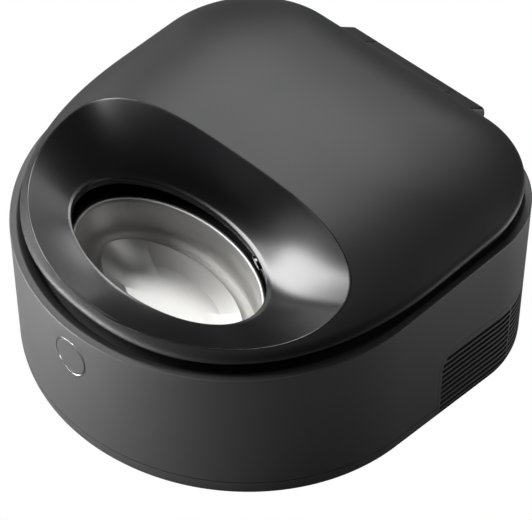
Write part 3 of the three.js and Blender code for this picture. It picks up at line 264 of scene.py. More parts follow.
def rodAlongX(name, radius, half):
    rings = [circle(radius, x, hinge["steps"]) for x in (-half, half)]
    return loft(name, [np.column_stack([r[:, 2], r[:, 0] + hinge["y"], r[:, 1] + hinge["z"]]) for r in rings])


# The band draws in towards the floor as a quarter of an oval: inset = reach (1 - sqrt(1 - down^2))
band = {"inset": 9.5, "bottom": 1.5, "floor": 2.4, "lip": 6.0, "lipWall": 2.0, "steps": 18}


def bandInset(z):
    down = np.clip((shell["seam"] - z) / (shell["seam"] - band["bottom"]), 0, 1)
    return band["inset"] * (1 - np.sqrt(1 - down ** 2))


# Vent grille on the right wall, with lengths taken along it: straight side, corner's arc, back
grille = {"front": 22.5, "back": 60.0, "bottom": 5.0, "top": 68.5, "corner": 15.0, "thickness": 2.4,
          "margin": 2.6, "pitch": 5.1, "slot": 3.2, "open": 72.0, "rib": 1.2, "groove": 1.7, "first": 9.3,
          "cutOut": 4.0, "cutIn": 7.0}
sideRun = body["back"] - body["corner"] - grille["front"]
cornerRun = body["corner"] * np.pi / 2
backRun = body["halfWidth"] - body["corner"] - grille["back"]
grilleRun = sideRun + cornerRun + backRun
grilleSteps = {"corner": 10, "middle": 64, "band": 9, "slot": 12, "groove": 40}


# Plan point at a length along the wall, moved in by an inset
def alongWall(length, inset):
    a = np.clip((length - sideRun) / body["corner"], 0, np.pi / 2)
    reach = body["corner"] - inset
    x = body["halfWidth"] - body["corner"] + reach * np.cos(a)
    y = body["back"] - body["corner"] + reach * np.sin(a)
    return x - np.maximum(length - sideRun - cornerRun, 0), y + np.minimum(length - sideRun, 0)


# The grille's top edge is level, with a rounded corner at each end: top - r + sqrt(r^2 - short^2)
def grilleTop(margin):
    def height(length):
        radius = grille["corner"] + margin
        end = np.maximum(np.minimum(length, grilleRun - length) + margin, 0)
        short = np.maximum(radius - end, 0)
        return grille["top"] + margin - radius + np.sqrt(np.maximum(radius ** 2 - short ** 2, 0))
    return height


# Lengths at which the grille has a section, closer together at its rounded ends
def grilleLengths(margin):
    turns = np.linspace(0, np.pi / 2, grilleSteps["corner"])
    bend = (grille["corner"] + margin) * (1 - np.cos(turns)) - margin
    middle = np.linspace(bend[-1], grilleRun - bend[-1], grilleSteps["middle"])[1:-1]
    return np.concatenate([bend, middle, grilleRun - bend[::-1]])


# A slab on the wall: each section stands at one length along the wall, between two insets, and follows
# the drawn-in band below the seam. Its top is one height, or a function of the length.
def wallSlab(name, lengths, bottom, top, outer, inner):
    if callable(top):
        head = top(lengths)
        seam = np.minimum(shell["seam"], head)
        shares = np.linspace(0, 1, grilleSteps["band"])
        heights = [bottom + (seam - bottom) * share for share in shares] + [head]
    else:
        heights = [np.full(len(lengths), float(z)) for z in (bottom, top)]
    corners = []
    for inset, order in ((outer, heights), (inner, heights[::-1])):
        for z in order:
            x, y = alongWall(lengths, inset + bandInset(z))
            corners.append(np.stack([x, y, z], -1))
    return loft(name, list(np.stack(corners, 1)))


# The opening for the grille runs through housing and pan
def grilleOpening():
    gap = shell["gap"]
    return wallSlab("grilleOpening", grilleLengths(gap), grille["bottom"] - gap, grilleTop(gap),
                    -grille["cutOut"], grille["cutIn"])


# Open slots along the side, then blind grooves on round the corner. Rows beside the rounded top corner
# are shorter by r - sqrt(r^2 - over^2) at each end.
def makeGrille():
    slab = wallSlab("ventGrille", grilleLengths(0), grille["bottom"], grilleTop(0), 0, grille["thickness"])
    outside, through = -grille["cutOut"], grille["thickness"] + grille["cutOut"]
    cutters = []
    row, bottom = 0, grille["first"]
    while bottom + grille["slot"] < grille["top"] - grille["margin"] / 2:
        head = bottom + grille["slot"]
        over = max(head - (grille["top"] - grille["corner"]), 0)
        start = grille["margin"] + grille["corner"] - np.sqrt(grille["corner"] ** 2 - over ** 2)
        slot = np.linspace(start, grille["open"], grilleSteps["slot"])
        groove = np.linspace(grille["open"] + grille["rib"], grilleRun - start, grilleSteps["groove"])
        cutters.append(wallSlab(f"slot{row}", slot, bottom, head, outside, through))
        cutters.append(wallSlab(f"groove{row}", groove, bottom, head, outside, grille["groove"]))
        row, bottom = row + 1, bottom + grille["pitch"]
    return cutAway(slab, cutters, crease=25)


# Base pan: drawn-in band, ledge under the housing, lip inside it, and the floor with its intake slots
intake = {"count": 7, "x": 72.0, "y": 30.0, "pitch": 7.4, "halfLength": 24.3, "radius": 1.7, "from": -3.0,
          "to": 9.0, "steps": 24}


# A slot with round ends: the two halves of a circle are drawn apart along X
def intakeSlot(number):
    y = intake["y"] + (number - intake["count"] // 2) * intake["pitch"]
    rings = []
    for z in (intake["from"], intake["to"]):
        ring = circle(intake["radius"], z, intake["steps"])
        apart = intake["halfLength"] * np.sign(np.round(ring[:, 0], 6))
        rings.append(ring + np.column_stack([intake["x"] + apart, np.full_like(apart, y), 0 * apart]))
    return loft(f"intake{number}", rings)


def makePan():
    gap, ledge = shell["gap"], shell["seam"] - shell["gap"] / 2
    lip = shell["wall"] + gap
    rise = ledge - band["bottom"]
    heights = band["bottom"] + rise * np.sin(np.linspace(0, np.pi / 2, band["steps"]))
    corners = [(bodyRing(bandInset(z), z), 0) for z in heights[:-1]]
    corners += [
        (bodyRing(0, ledge), 0.5),
        (bodyRing(lip, ledge), 0),
        (bodyRing(lip, shell["seam"] + band["lip"]), 0.4),
        (bodyRing(lip + band["lipWall"], shell["seam"] + band["lip"]), 0.4),
        (bodyRing(lip + band["lipWall"], shell["seam"] - band["lip"]), 0),
        (bodyRing(band["inset"] + band["floor"], band["bottom"] + band["floor"]), 0),
    ]
    pan = softLoft("basePan", corners, steps=4)
    slots = [intakeSlot(number) for number in range(intake["count"])]
    return cutAway(pan, slots + [grilleOpening()])


# Lid: crowned top, rounded rim, inner panel, and the dished surround of the mouth
lid = {"halfWidth": 157.15, "back": 148.05, "corner": 77.0, "shoulder": 24.0, "front": -154.05, "power": 2.27,
       "rim": 3.5, "crown": 26.93, "crownPower": 4.4, "round": 4.6, "chamfer": 0.7, "wall": 2.4, "skin": 2.2,
       "edge": 12.0, "drop": 4.0, "panel": 2.4, "panelRise": 0.6, "panelMouth": 0.58, "rimSteps": 12,
       "crownSteps": 32, "underShares": (1, 0.8, 0.5, 0.2)}
dish = {"halfWidth": 132.45, "middle": -53.95, "rear": 47.45, "front": 96.9, "rearPower": 2.8,
        "frontPower": 1.88, "skin": 2.0, "skirt": 5.0, "power": 1.08, "mouthWidth": 83.8, "mouthHalf": 43.5,
        "mouthMiddle": -78.75, "mouth": -1.4, "round": 1.1, "lip": 5.4, "lipWall": 1.8, "steps": 240,
        "topShares": (0.03, 0.97, 34), "underShares": (0.9, 0.06, 12)}
lidMiddle = (lid["back"] + lid["front"]) / 2
lidEdge = outline(lid, 0) - [0, lidMiddle]
lidAngles = np.arctan2(lidEdge[:, 1], lidEdge[:, 0])
lidReach = np.hypot(lidEdge[:, 0], lidEdge[:, 1])
byAngle = np.argsort(lidAngles)


# Height of the lid's top: rim + crown (1 - q^n), where q is the distance from the lid's middle over the
# outline's reach in that direction. 1/reach is what runs evenly along a straight edge, so that is looked up.
def lidTop(x, y):
    q = np.hypot(x, y - lidMiddle) * np.interp(np.arctan2(y - lidMiddle, x), lidAngles[byAngle],
                                               1 / lidReach[byAngle], period=2 * np.pi)
    return lid["rim"] + lid["crown"] * (1 - np.minimum(q, 1) ** lid["crownPower"])


# A ring at a depth below the lid's top, and one at a height square to the deck
def lidRing(plan, drop):
    return ontoDeck(np.column_stack([plan, lidTop(plan[:, 0], plan[:, 1]) - drop]))


def deckRing(plan, square):
    return ontoDeck(level(plan, square))


# Directions of the lid's outline points from the middle of the dish, so that rings of both match
def lidDirections():
    toward = outline(lid, 0) - [0, dish["middle"]]
    return np.arctan2(toward[:, 1], toward[:, 0])


# Radius of the dish's edge in a direction: (|cos/a|^n + |sin/b|^n)^(-1/n), its own b and n before and behind
def dishEdge(directions, inset=0.0):
    c, s = np.cos(directions), np.sin(directions)
    behind = s >= 0
    width = dish["halfWidth"] - inset
    half = np.where(behind, dish["rear"], dish["front"]) - inset
    power = np.where(behind, dish["rearPower"], dish["frontPower"])
    radius = ((np.abs(c) / width) ** power + (np.abs(s) / half) ** power) ** (-1 / power)
    return np.column_stack([radius * c, dish["middle"] + radius * s])


# The mouth is a plain oval. Its points keep the same turn round it as those of the dish's edge.
def mouthEdge(directions, grow=0.0):
    a, b = dish["mouthWidth"] + grow, dish["mouthHalf"] + grow
    turn = np.arctan2(np.sin(directions) / b, np.cos(directions) / a)
    return np.column_stack([a * np.cos(turn), dish["mouthMiddle"] + b * np.sin(turn)])


# The rim runs from the crown to the upright edge, with t from 0 to 1: inset = round (1-t)^2, and its height
# is a parabola past three levels, (1-t)^2 start + 2t(1-t) rim + t^2 chamfer.
def rimRings():
    begin = outline(lid, lid["round"])
    start = lidTop(begin[:, 0], begin[:, 1])
    rings = []
    for t in np.linspace(0, 1, lid["rimSteps"]):
        upper = start + (lid["rim"] - start) * t
        lower = lid["rim"] + (lid["chamfer"] - lid["rim"]) * t
        plan = outline(lid, lid["round"] * (1 - t) ** 2)
        rings.append(ontoDeck(np.column_stack([plan, upper + (lower - upper) * t])))
    return rings


# The crown's rings are spread between the dish and the rim by half a cosine wave, closer at both ends
def makeLid():
    inner = outline(lid, lid["round"])
    under = outline(lid, lid["round"] + lid["skin"])
    edge = dishEdge(lidDirections(), -shell["gap"])
    spread = 0.5 - 0.5 * np.cos(np.linspace(0, np.pi, lid["crownSteps"]))
    top = [(lidRing(edge, 0), 0.35)]
    top += [(lidRing(edge + (inner - edge) * s, 0), 0) for s in spread[1:-1]]
    top += [(ring, 0) for ring in rimRings()]
    top += [
        (deckRing(outline(lid, lid["chamfer"]), 0), 0.3),
        (deckRing(outline(lid, lid["wall"]), 0), 0.3),
        (lidRing(outline(lid, lid["wall"]), lid["skin"]), 0),
    ]
    top += [(lidRing(edge + (under - edge) * s, lid["skin"]), 0) for s in lid["underShares"]]
    top += [(lidRing(edge, lid["skin"]), 0.3)]
    return softLoft("lidShell", top, closed=True)


# The inner panel closes the lid from below, round a hole that lets the dish through and a bore for the
# shutter's stem
stemBore = {"radius": 3.1, "from": -9.0, "to": 3.0, "steps": 32}


def makePanel():
    directions = lidDirections()
    edge, mouth = dishEdge(directions), mouthEdge(directions, dish["round"])
    hole = edge + (mouth - edge) * lid["panelMouth"]
    outer = lid["wall"] + shell["gap"]
    panel = softLoft("lidInnerPanel", [
        (deckRing(hole, -lid["drop"]), 0.5),
        (deckRing(outline(lid, lid["edge"]), -lid["drop"]), 1.5),
        (deckRing(outline(lid, outer), 0), 0.2),
        (deckRing(outline(lid, outer), lid["panelRise"]), 0.2),
        (deckRing(outline(lid, outer + lid["panel"]), lid["panelRise"]), 0.3),
        (deckRing(outline(lid, lid["edge"]), lid["panel"] - lid["drop"]), 1.0),
        (deckRing(hole, lid["panel"] - lid["drop"]), 0.5),
    ], closed=True)
    ends = (stemBore["from"], stemBore["to"])
    bore = loft("stemBore", [onCarousel(circle(stemBore["radius"], w, stemBore["steps"])) for w in ends])
    return cutAway(panel, [bore])


# The dish falls from the lid's top to the mouth, straight in plan, with share from 0 to 1:
# height = mouth + (edge height - mouth) (1 - share)^power. Shares run from one value to another, in steps.
def makeDish():
    directions = np.linspace(0, 2 * np.pi, dish["steps"], endpoint=False)
    edge, mouth = dishEdge(directions), mouthEdge(directions, dish["round"])
    edgeHeight = lidTop(edge[:, 0], edge[:, 1])

    def ringAt(share, drop):
        flat = edge + (mouth - edge) * share
        height = dish["mouth"] + (edgeHeight - dish["mouth"]) * (1 - share) ** dish["power"] - drop
        return ontoDeck(np.column_stack([flat, height]))

    lipBottom = dish["mouth"] - dish["lip"]
    skirt = dishEdge(directions, dish["skin"])
    corners = [(ringAt(0, 0), 0.5)]
    corners += [(ringAt(share, 0), 0) for share in np.linspace(*dish["topShares"])]
    corners += [
        (deckRing(mouthEdge(directions, 0), dish["mouth"]), 0.8),
        (deckRing(mouthEdge(directions, 0), lipBottom), 0.4),
        (deckRing(mouthEdge(directions, dish["lipWall"]), lipBottom), 0.4),
        (deckRing(mouthEdge(directions, dish["lipWall"]), dish["mouth"] - dish["skin"]), 0),
    ]
    corners += [(ringAt(share, dish["skin"]), 0) for share in np.linspace(*dish["underShares"])]
    corners += [
        (ontoDeck(np.column_stack([skirt, edgeHeight - dish["skirt"]])), 0.3),
        (ontoDeck(np.column_stack([edge, edgeHeight - dish["skirt"]])), 0.3),
    ]
    return softLoft("lidDish", corners, closed=True)


# Hinge: two knuckles on the housing, and the arm of the lid between them. Angles are in degrees.
hinge = {"y": 157.75, "z": 140.353, "radius": 7.44, "crest": 13.0, "inner": 38.5, "outer": 64.1, "gap": 0.8,
         "root": 4.4, "heel": 1.3, "lead": 1.1, "foot": 24.0, "sill": 1.4, "overlap": 0.3, "steps": 72,
         "knuckleFrom": -48, "knuckleTo": 64.6, "armFrom": 58, "armTo": -180, "arcSteps": 40,
         "innerEase": 0.6, "outerEase": 3.0, "easeSteps": 6}


# A section of (y, z) points carried along X. At each end it draws in by a quarter of a circle.
def makeSection(name, section, fromX, toX, ease):
    section = np.asarray(section, float)
    middle = section.mean(0)

    def at(x, shrink):
        length = np.linalg.norm(section - middle, axis=1, keepdims=True)
        pulled = section + (middle - section) * shrink / length
        return np.column_stack([np.full(len(section), float(x)), pulled])

    turns = np.linspace(0, np.pi / 2, hinge["easeSteps"])
    rings = [at(fromX + ease[0] * (1 - np.cos(a)), ease[0] * (1 - np.sin(a))) for a in turns]
    rings += [at(toX - ease[1] * (1 - np.cos(a)), ease[1] * (1 - np.sin(a))) for a in turns[::-1]]
    return loft(name, rings, crease=35)


def barrelArc(y, z, fromDegrees, toDegrees):
    a = np.radians(np.linspace(fromDegrees, toDegrees, hinge["arcSteps"]))
    return np.column_stack([y + hinge["radius"] * np.cos(a), z + hinge["radius"] * np.sin(a)])


def verticesOf(piece):
    points = np.empty(len(piece.data.vertices) * 3)
    piece.data.vertices.foreach_get("co", points)
    return points.reshape(-1, 3)


def makeKnuckles():
    sill = shell["top"] - hinge["sill"] - shell["drop"] + body["back"] * np.tan(shell["slope"])
    root, heel, lead = (body["back"] - hinge[key] for key in ("root", "heel", "lead"))
    knuckle = np.vstack([[[root, sill], [heel, sill], [heel, hinge["z"] - hinge["foot"]]],
                         barrelArc(hinge["y"], hinge["z"], hinge["knuckleFrom"], hinge["knuckleTo"]),
                         [[lead, hinge["z"] + hinge["crest"]], [root, hinge["z"] + hinge["radius"]]]])
    near, far = hinge["inner"] + hinge["gap"], hinge["outer"]
    ease = (hinge["innerEase"], hinge["outerEase"])
    return [makeSection("hingeKnuckleRight", knuckle, near, far, ease),
            makeSection("hingeKnuckleLeft", knuckle, -far, -near, ease[::-1])]


# The arm is drawn on the deck, where the hinge's axis lies at (y, z), and then tilted with the lid
def makeArm():
    rise = hinge["z"] - deck["height"]
    y, z = hinge["y"] * deckCos + rise * deckSin, rise * deckCos - hinge["y"] * deckSin
    inside = lid["back"] - lid["wall"] + hinge["overlap"]
    section = np.vstack([[[inside, lid["rim"] / 2],
                          [lid["back"] + hinge["overlap"], lid["rim"] - lid["round"] / 2]],
                         barrelArc(y, z, hinge["armFrom"], hinge["armTo"]),
                         [[y - hinge["radius"], -lid["drop"]], [inside, hinge["overlap"]]]])
    arm = makeSection("lidHingeArm", section, -hinge["inner"], hinge["inner"], (hinge["innerEase"],) * 2)
    arm.data.vertices.foreach_set("co", (ontoDeck(verticesOf(arm) / mm) * mm).ravel())
    arm.data.update()
    return arm


# Button and its ring: rings round Y, set flush into the oval front y = shoulder - b sqrt(1 - (x/a)^2)
button = {"z": 86.3, "radius": 13.6, "gap": 0.3, "ring": 14.9, "cap": 3.4, "dip": 0.25, "stem": 3.5,
          "core": 0.5, "stemEnd": 9.0, "edge": 0.05, "ringEnd": 5.0, "ringLip": 0.25, "ringIn": 0.65,
          "ringOut": 0.2, "steps": 96}


def frontFace(x):
    depth = body["shoulder"] - body["front"]
    return body["shoulder"] - depth * np.sqrt(1 - (x / body["halfWidth"]) ** 2)


# A ring that follows the front, or a flat one behind its foremost line
def faceRing(radius, back, flush):
    a = np.linspace(0, 2 * np.pi, button["steps"], endpoint=False)
    x, z = radius * np.cos(a), button["z"] + radius * np.sin(a)
    y = frontFace(x) + back if flush else np.full(button["steps"], body["front"] + back)
    return np.column_stack([x, y, z])


# The cap is slightly hollow: back = dip (1 - share^2), with the share of its radius
def makeButton():
    radius, shares = button["radius"], np.linspace(0.05, 0.9, 12)
    corners = [(faceRing(radius * s, button["dip"] * (1 - s ** 2), True), 0) for s in shares]
    corners += [
        (faceRing(radius, button["edge"], True), 0.6),
        (faceRing(radius, button["cap"], False), 0),
        (faceRing(button["stem"], button["cap"], False), 0),
        (faceRing(button["stem"], button["stemEnd"], False), 0.3),
        (faceRing(button["core"], button["stemEnd"], False), 0),
    ]
    cap = softLoft("frontButton", corners)
    ring = softLoft("buttonRing", [
        (faceRing(radius + button["gap"], button["ringIn"], True), 0.1),
        (faceRing(button["ring"] - button["ringLip"], 0, True), 0.12),
        (faceRing(button["ring"], button["ringOut"], True), 0.1),
        (faceRing(button["ring"], button["ringEnd"], False), 0),
        (faceRing(radius + button["gap"], button["ringEnd"], False), 0),
    ], closed=True)
    return cap, ring


# Bowls: drawn oval cups with a rolled rim. The first stands under the mouth.
bowl = {"halfLength": 82.2, "halfWidth": 47.4, "orbit": 77.35, "rimTop": -17.3, "bead": 1.6, "depth": 36.0,
        "wall": 0.9, "draft": 3.4, "round": 11.0, "beadFrom": -80, "beadTo": 160, "tuck": 0.4, "steps": 160,
        "footShares": (0.3, 0.7), "outerSteps": 9, "beadSteps": 14, "innerSteps": 10}


# An oval drawn in along its normal by the inset, and then scaled by the share
def ovalRing(inset, height, share=1.0):
    a = np.linspace(0, 2 * np.pi, bowl["steps"], endpoint=False)
    rx, ry = bowl["halfLength"], bowl["halfWidth"]
    lean = np.column_stack([np.cos(a) / rx, np.sin(a) / ry])
    lean /= np.linalg.norm(lean, axis=1, keepdims=True)
    plan = (np.column_stack([rx * np.cos(a), ry * np.sin(a)]) - inset * lean) * share
    return level(plan - [0, bowl["orbit"]], height)


# Turns points by thirds of a circle round the turntable's axis, and sets them on it
def atSeat(points, number):
    turn = 2 * np.pi * number / 3
    spin = np.array([[np.cos(turn), -np.sin(turn), 0], [np.sin(turn), np.cos(turn), 0], [0, 0, 1]])
    return onCarousel(points @ spin.T)


# Rings run from the foot's middle up the outside, round the bead, and down the inside to the floor
def makeBowl(number):
    foot = bowl["rimTop"] - bowl["depth"]
    neck, wall, bead = 2 * bowl["bead"], bowl["wall"], bowl["bead"]
    centre = bowl["rimTop"] - bead
    base, outer, inner = neck + bowl["draft"], bowl["round"], bowl["round"] - wall
    rings = [ovalRing(base + outer, foot, share) for share in bowl["footShares"]]
    for a in np.linspace(np.pi / 2, 0, bowl["outerSteps"]):
        rings.append(ovalRing(base + outer * np.sin(a), foot + outer * (1 - np.cos(a))))
    rings.append(ovalRing(neck, centre - bead))
    for a in np.radians(np.linspace(bowl["beadFrom"], bowl["beadTo"], bowl["beadSteps"])):
        rings.append(ovalRing(bead * (1 - np.cos(a)), centre + bead * np.sin(a)))
    rings.append(ovalRing(neck + wall, centre - bead * bowl["tuck"]))
    for a in np.linspace(0, np.pi / 2, bowl["innerSteps"]):
        rings.append(ovalRing(base + wall + inner * np.sin(a), foot + wall + inner * (1 - np.cos(a))))
    rings += [ovalRing(base + outer, foot + wall, share) for share in bowl["footShares"][::-1]]
    return loft(f"bowl{number}", [atSeat(ring, number - 1) for ring in rings], crease=40)


# Chamber: the pressed tub, the turntable with its three seats, and the lid's gasket
chamber = {"radius": 127.45, "wall": 2.0, "floor": -62.0, "flange": 6.5, "flangeThickness": 3.0, "bore": 4.6}
table = {"radius": 125.95, "top": -20.8, "thickness": 2.6, "skirt": 8.0, "skirtWall": 2.0, "hub": 13.0,
         "hubBottom": -60.0, "bore": 2.0, "land": 2.6, "cut": 4.0}
gasket = {"top": -4.3, "bottom": -11.9, "width": 5.0, "lip": 2.0}


def makeLiner():
    outer = chamber["radius"] + chamber["wall"]
    flangeBottom = shell["deckTop"] + shell["gap"]
    flangeTop = flangeBottom + chamber["flangeThickness"]
    return turned("chamberLiner", [
        (chamber["bore"], chamber["floor"] - chamber["wall"], 0.2),
        (outer, chamber["floor"] - chamber["wall"], 7.0),
        (outer, flangeBottom, 0.8),
        (outer + chamber["flange"], flangeBottom, 0.5),
        (outer + chamber["flange"], flangeTop, 0.8),
        (chamber["radius"], flangeTop, 1.2),
        (chamber["radius"], chamber["floor"], 5.0),
        (chamber["bore"], chamber["floor"], 0.2),
    ], onCarousel)


def makeTable():
    edge, plate = table["radius"], table["top"] - table["thickness"]
    platter = turned("turntable", [
        (table["bore"], table["hubBottom"], 0),
        (table["hub"], table["hubBottom"], 1.0),
        (table["hub"], plate, 2.0),
        (edge - table["skirtWall"], plate, 0.4),
        (edge - table["skirtWall"], table["top"] - table["skirt"], 0.3),
        (edge, table["top"] - table["skirt"], 0.3),
        (edge, table["top"], 1.2),
        (table["bore"], table["top"], 0),
    ], onCarousel, closed=False)
    ends = (plate - table["cut"], table["top"] + table["cut"])
    seats = [loft(f"seat{number}", [atSeat(ovalRing(table["land"], z), number) for z in ends])
             for number in range(3)]
    return cutAway(platter, seats)


def makeGasket():
    inner = chamber["radius"] + chamber["wall"]
    tip = inner + gasket["width"] / 2
    return turned("lidGasket", [
        (inner, gasket["top"], 0.5),
        (tip - gasket["lip"] / 2, gasket["bottom"], 0.7),
        (tip + gasket["lip"] / 2, gasket["bottom"], 0.7),
        (inner + gasket["width"], gasket["top"], 0.5),
    ], onCarousel)


# A foot is turned round the middle of its CAD box, with its lower edge cut off at an angle
pad = {"core": 1.0, "edge": 1.0, "steps": 64}


def makeFoot(name):
    low, high = (np.array(corner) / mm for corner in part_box(name))
    middle, radius = (low + high) / 2, (high[0] - low[0]) / 2
    return turned(name + "_pad", [
        (pad["core"], 0, 0),
        (radius - pad["edge"], 0, 0.7),
        (radius, pad["edge"], 0.7),
        (radius, high[2], 0.3),
        (pad["core"], high[2], 0),
    ], lambda ring: ring + [middle[0], middle[1], 0], closed=False, steps=pad["steps"])


# Power inlet, turned round Y: an open cup through the wall, with a pin in its middle
inlet = {"x": -75.0, "z": 36.0, "radius": 5.6, "bore": 3.0, "flange": 7.4, "pin": 1.0, "length": 13.0,
         "floor": 1.2, "flangeWall": 1.2, "recess": 0.45, "core": 0.5, "pinCore": 0.3, "pinFoot": 0.6,
         "steps": 64, "pinSteps": 32}


def atInlet(ring):
    return np.column_stack([ring[:, 0] + inlet["x"], ring[:, 2], ring[:, 1] + inlet["z"]])


def makeInlet():
    inside, mouth = body["back"] - shell["wall"], body["back"] - inlet["recess"]
    front = inside - shell["gap"]
    end = front - inlet["length"]
    cup = turned("powerSocket", [
        (inlet["core"], end + inlet["floor"], 0),
        (inlet["bore"], end + inlet["floor"], 0.4),
        (inlet["bore"], mouth, 0.4),
        (inlet["radius"], mouth, 0.5),
        (inlet["radius"], front, 0.2),
        (inlet["flange"], front, 0.3),
        (inlet["flange"], front - inlet["flangeWall"], 0.3),
        (inlet["radius"], front - inlet["flangeWall"], 0.2),
        (inlet["radius"], end, 0.6),
        (inlet["core"], end, 0),
    ], atInlet, closed=False, steps=inlet["steps"])
    pin = turned("socketPin", [
        (inlet["pinCore"], end + inlet["pinFoot"], 0),
        (inlet["pin"], end + inlet["pinFoot"], 0.1),
        (inlet["pin"], inside, 0.6),
        (inlet["pinCore"], inside, 0),
    ], atInlet, closed=False, steps=inlet["pinSteps"])
    return cup, pin


# Every material comes from one of two makers: moulded plastic and drawn metal
def newMaterial(name):
    material = bpy.data.materials.new(name)
    material.use_nodes = True
    tree = material.node_tree
    return material, tree.nodes, tree.links, tree.nodes["Principled BSDF"]


# Detail of the noises, size of the soft patches, and depth of the bumps in metres
mould = {"grainDetail": 3, "patchDetail": 4, "patchSize": 14.0, "depth": 0.0002, "coatRoughness": 0.08}
metal = {"detail": 6, "depth": 0.0001, "bump": 0.12, "smoother": 0.06, "rougher": 0.08}


# Moulded surface: fine grain for bump, and broad soft patches that vary the roughness:
# roughness = given roughness + spread (patch - 0.5)
def buildMouldGroup():
    group = bpy.data.node_groups.new("mouldedSurface", "ShaderNodeTree")
    for name in ("Grain size", "Patch size", "Roughness", "Spread"):
        group.interface.new_socket(name, in_out="INPUT", socket_type="NodeSocketFloat")
    group.interface.new_socket("Roughness", in_out="OUTPUT", socket_type="NodeSocketFloat")
    group.interface.new_socket("Height", in_out="OUTPUT", socket_type="NodeSocketFloat")
    put, link = group.nodes.new, group.links.new
    ins, outs = put("NodeGroupInput"), put("NodeGroupOutput")
    place = put("ShaderNodeTexCoord")
    grain, patch = put("ShaderNodeTexNoise"), put("ShaderNodeTexNoise")
    grain.inputs["Detail"].default_value = mould["grainDetail"]
    patch.inputs["Detail"].default_value = mould["patchDetail"]
    link(place.outputs["Object"], grain.inputs["Vector"])
    link(place.outputs["Object"], patch.inputs["Vector"])
    link(ins.outputs["Grain size"], grain.inputs["Scale"])
    link(ins.outputs["Patch size"], patch.inputs["Scale"])
    centred, spread, total = put("ShaderNodeMath"), put("ShaderNodeMath"), put("ShaderNodeMath")
    centred.operation, spread.operation, total.operation = "SUBTRACT", "MULTIPLY", "ADD"
    centred.inputs[1].default_value = 0.5
    link(patch.outputs["Fac"], centred.inputs[0])
    link(centred.outputs[0], spread.inputs[0])
    link(ins.outputs["Spread"], spread.inputs[1])
    link(spread.outputs[0], total.inputs[0])
    link(ins.outputs["Roughness"], total.inputs[1])
    link(total.outputs[0], outs.inputs["Roughness"])
    link(grain.outputs["Fac"], outs.inputs["Height"])
    return group


mouldGroup = buildMouldGroup()


def mouldedPlastic(name, colour, roughness, grain, bump, spread=0.06, sheen=0.5, coat=0.0):
    material, tree, links, shader = newMaterial(name)
    surface = tree.new("ShaderNodeGroup")
    surface.node_tree = mouldGroup
    surface.inputs["Grain size"].default_value = grain
    surface.inputs["Patch size"].default_value = mould["patchSize"]
    surface.inputs["Roughness"].default_value = roughness
    surface.inputs["Spread"].default_value = spread
    height = tree.new("ShaderNodeBump")
    height.inputs["Strength"].default_value = bump
    height.inputs["Distance"].default_value = mould["depth"]
    links.new(surface.outputs["Height"], height.inputs["Height"])
    links.new(height.outputs["Normal"], shader.inputs["Normal"])
    links.new(surface.outputs["Roughness"], shader.inputs["Roughness"])
    shader.inputs["Base Color"].default_value = (*colour, 1)
    shader.inputs["Specular IOR Level"].default_value = sheen
    shader.inputs["Coat Weight"].default_value = coat
    shader.inputs["Coat Roughness"].default_value = mould["coatRoughness"]
    return material


# Drawn metal: noise stretched by a scale for each axis, for faint streaks in bump and roughness
def drawnMetal(name, colour, roughness, stretch):
    material, tree, links, shader = newMaterial(name)
    place, mapping = tree.new("ShaderNodeTexCoord"), tree.new("ShaderNodeMapping")
    streaks, shade = tree.new("ShaderNodeTexNoise"), tree.new("ShaderNodeMapRange")
    height = tree.new("ShaderNodeBump")
    mapping.inputs["Scale"].default_value = stretch
    streaks.inputs["Scale"].default_value = 1.0
    streaks.inputs["Detail"].default_value = metal["detail"]
    shade.inputs["To Min"].default_value = roughness - metal["smoother"]
    shade.inputs["To Max"].default_value = roughness + metal["rougher"]
    height.inputs["Strength"].default_value = metal["bump"]
    height.inputs["Distance"].default_value = metal["depth"]
    links.new(place.outputs["Object"], mapping.inputs["Vector"])
    links.new(mapping.outputs["Vector"], streaks.inputs["Vector"])
    links.new(streaks.outputs["Fac"], shade.inputs["Value"])
    links.new(shade.outputs["Result"], shader.inputs["Roughness"])
    links.new(streaks.outputs["Fac"], height.inputs["Height"])
    links.new(height.outputs["Normal"], shader.inputs["Normal"])
    shader.inputs["Base Color"].default_value = (*colour, 1)
    shader.inputs["Metallic"].default_value = 1.0
    return material


finishes = {
    "shell": mouldedPlastic("charcoalShell", (0.018, 0.018, 0.019), 0.46, grain=2600, bump=0.05, sheen=0.62),
    # the walls' finish is the lid's charcoal plastic painted lighter: a lit copy whose colour stands in for
    # the light falling on the walls
    "wall": mouldedPlastic("charcoalWallLitCopy", (0.060, 0.060, 0.061), 0.5, grain=2600, bump=0.06, sheen=1.0),
    "dish": mouldedPlastic("glossDish", (0.006, 0.006, 0.007), 0.2, grain=700, bump=0.004, spread=0.02,
                           sheen=0.9),
    "inner": mouldedPlastic("innerBlack", (0.012, 0.012, 0.013), 0.5, grain=1600, bump=0.05),
    "steel": drawnMetal("satinSteel", (0.74, 0.735, 0.72), 0.5, stretch=(1500, 1500, 1500)),
    "alloy": drawnMetal("milledAlloy", (0.48, 0.49, 0.50), 0.36, stretch=(60, 900, 900)),
    "ring": drawnMetal("brightRing", (0.55, 0.56, 0.58), 0.16, stretch=(500, 500, 500)),
    "rubber": mouldedPlastic("footRubber", (0.010, 0.010, 0.010), 0.75, grain=1200, bump=0.1),
    "foam": mouldedPlastic("paleFoam", (0.66, 0.65, 0.60), 0.9, grain=500, bump=0.5),
    "board": mouldedPlastic("solderMask", (0.014, 0.100, 0.042), 0.35, grain=900, bump=0.05),
    "ceramic": mouldedPlastic("ceramicTile", (0.80, 0.80, 0.78), 0.45, grain=1500, bump=0.05),
    "lens": mouldedPlastic("smokedLens", (0.004, 0.004, 0.005), 0.05, grain=200, bump=0.0, spread=0.0,
                           coat=1.0),
}
print("materials made:", len(finishes))
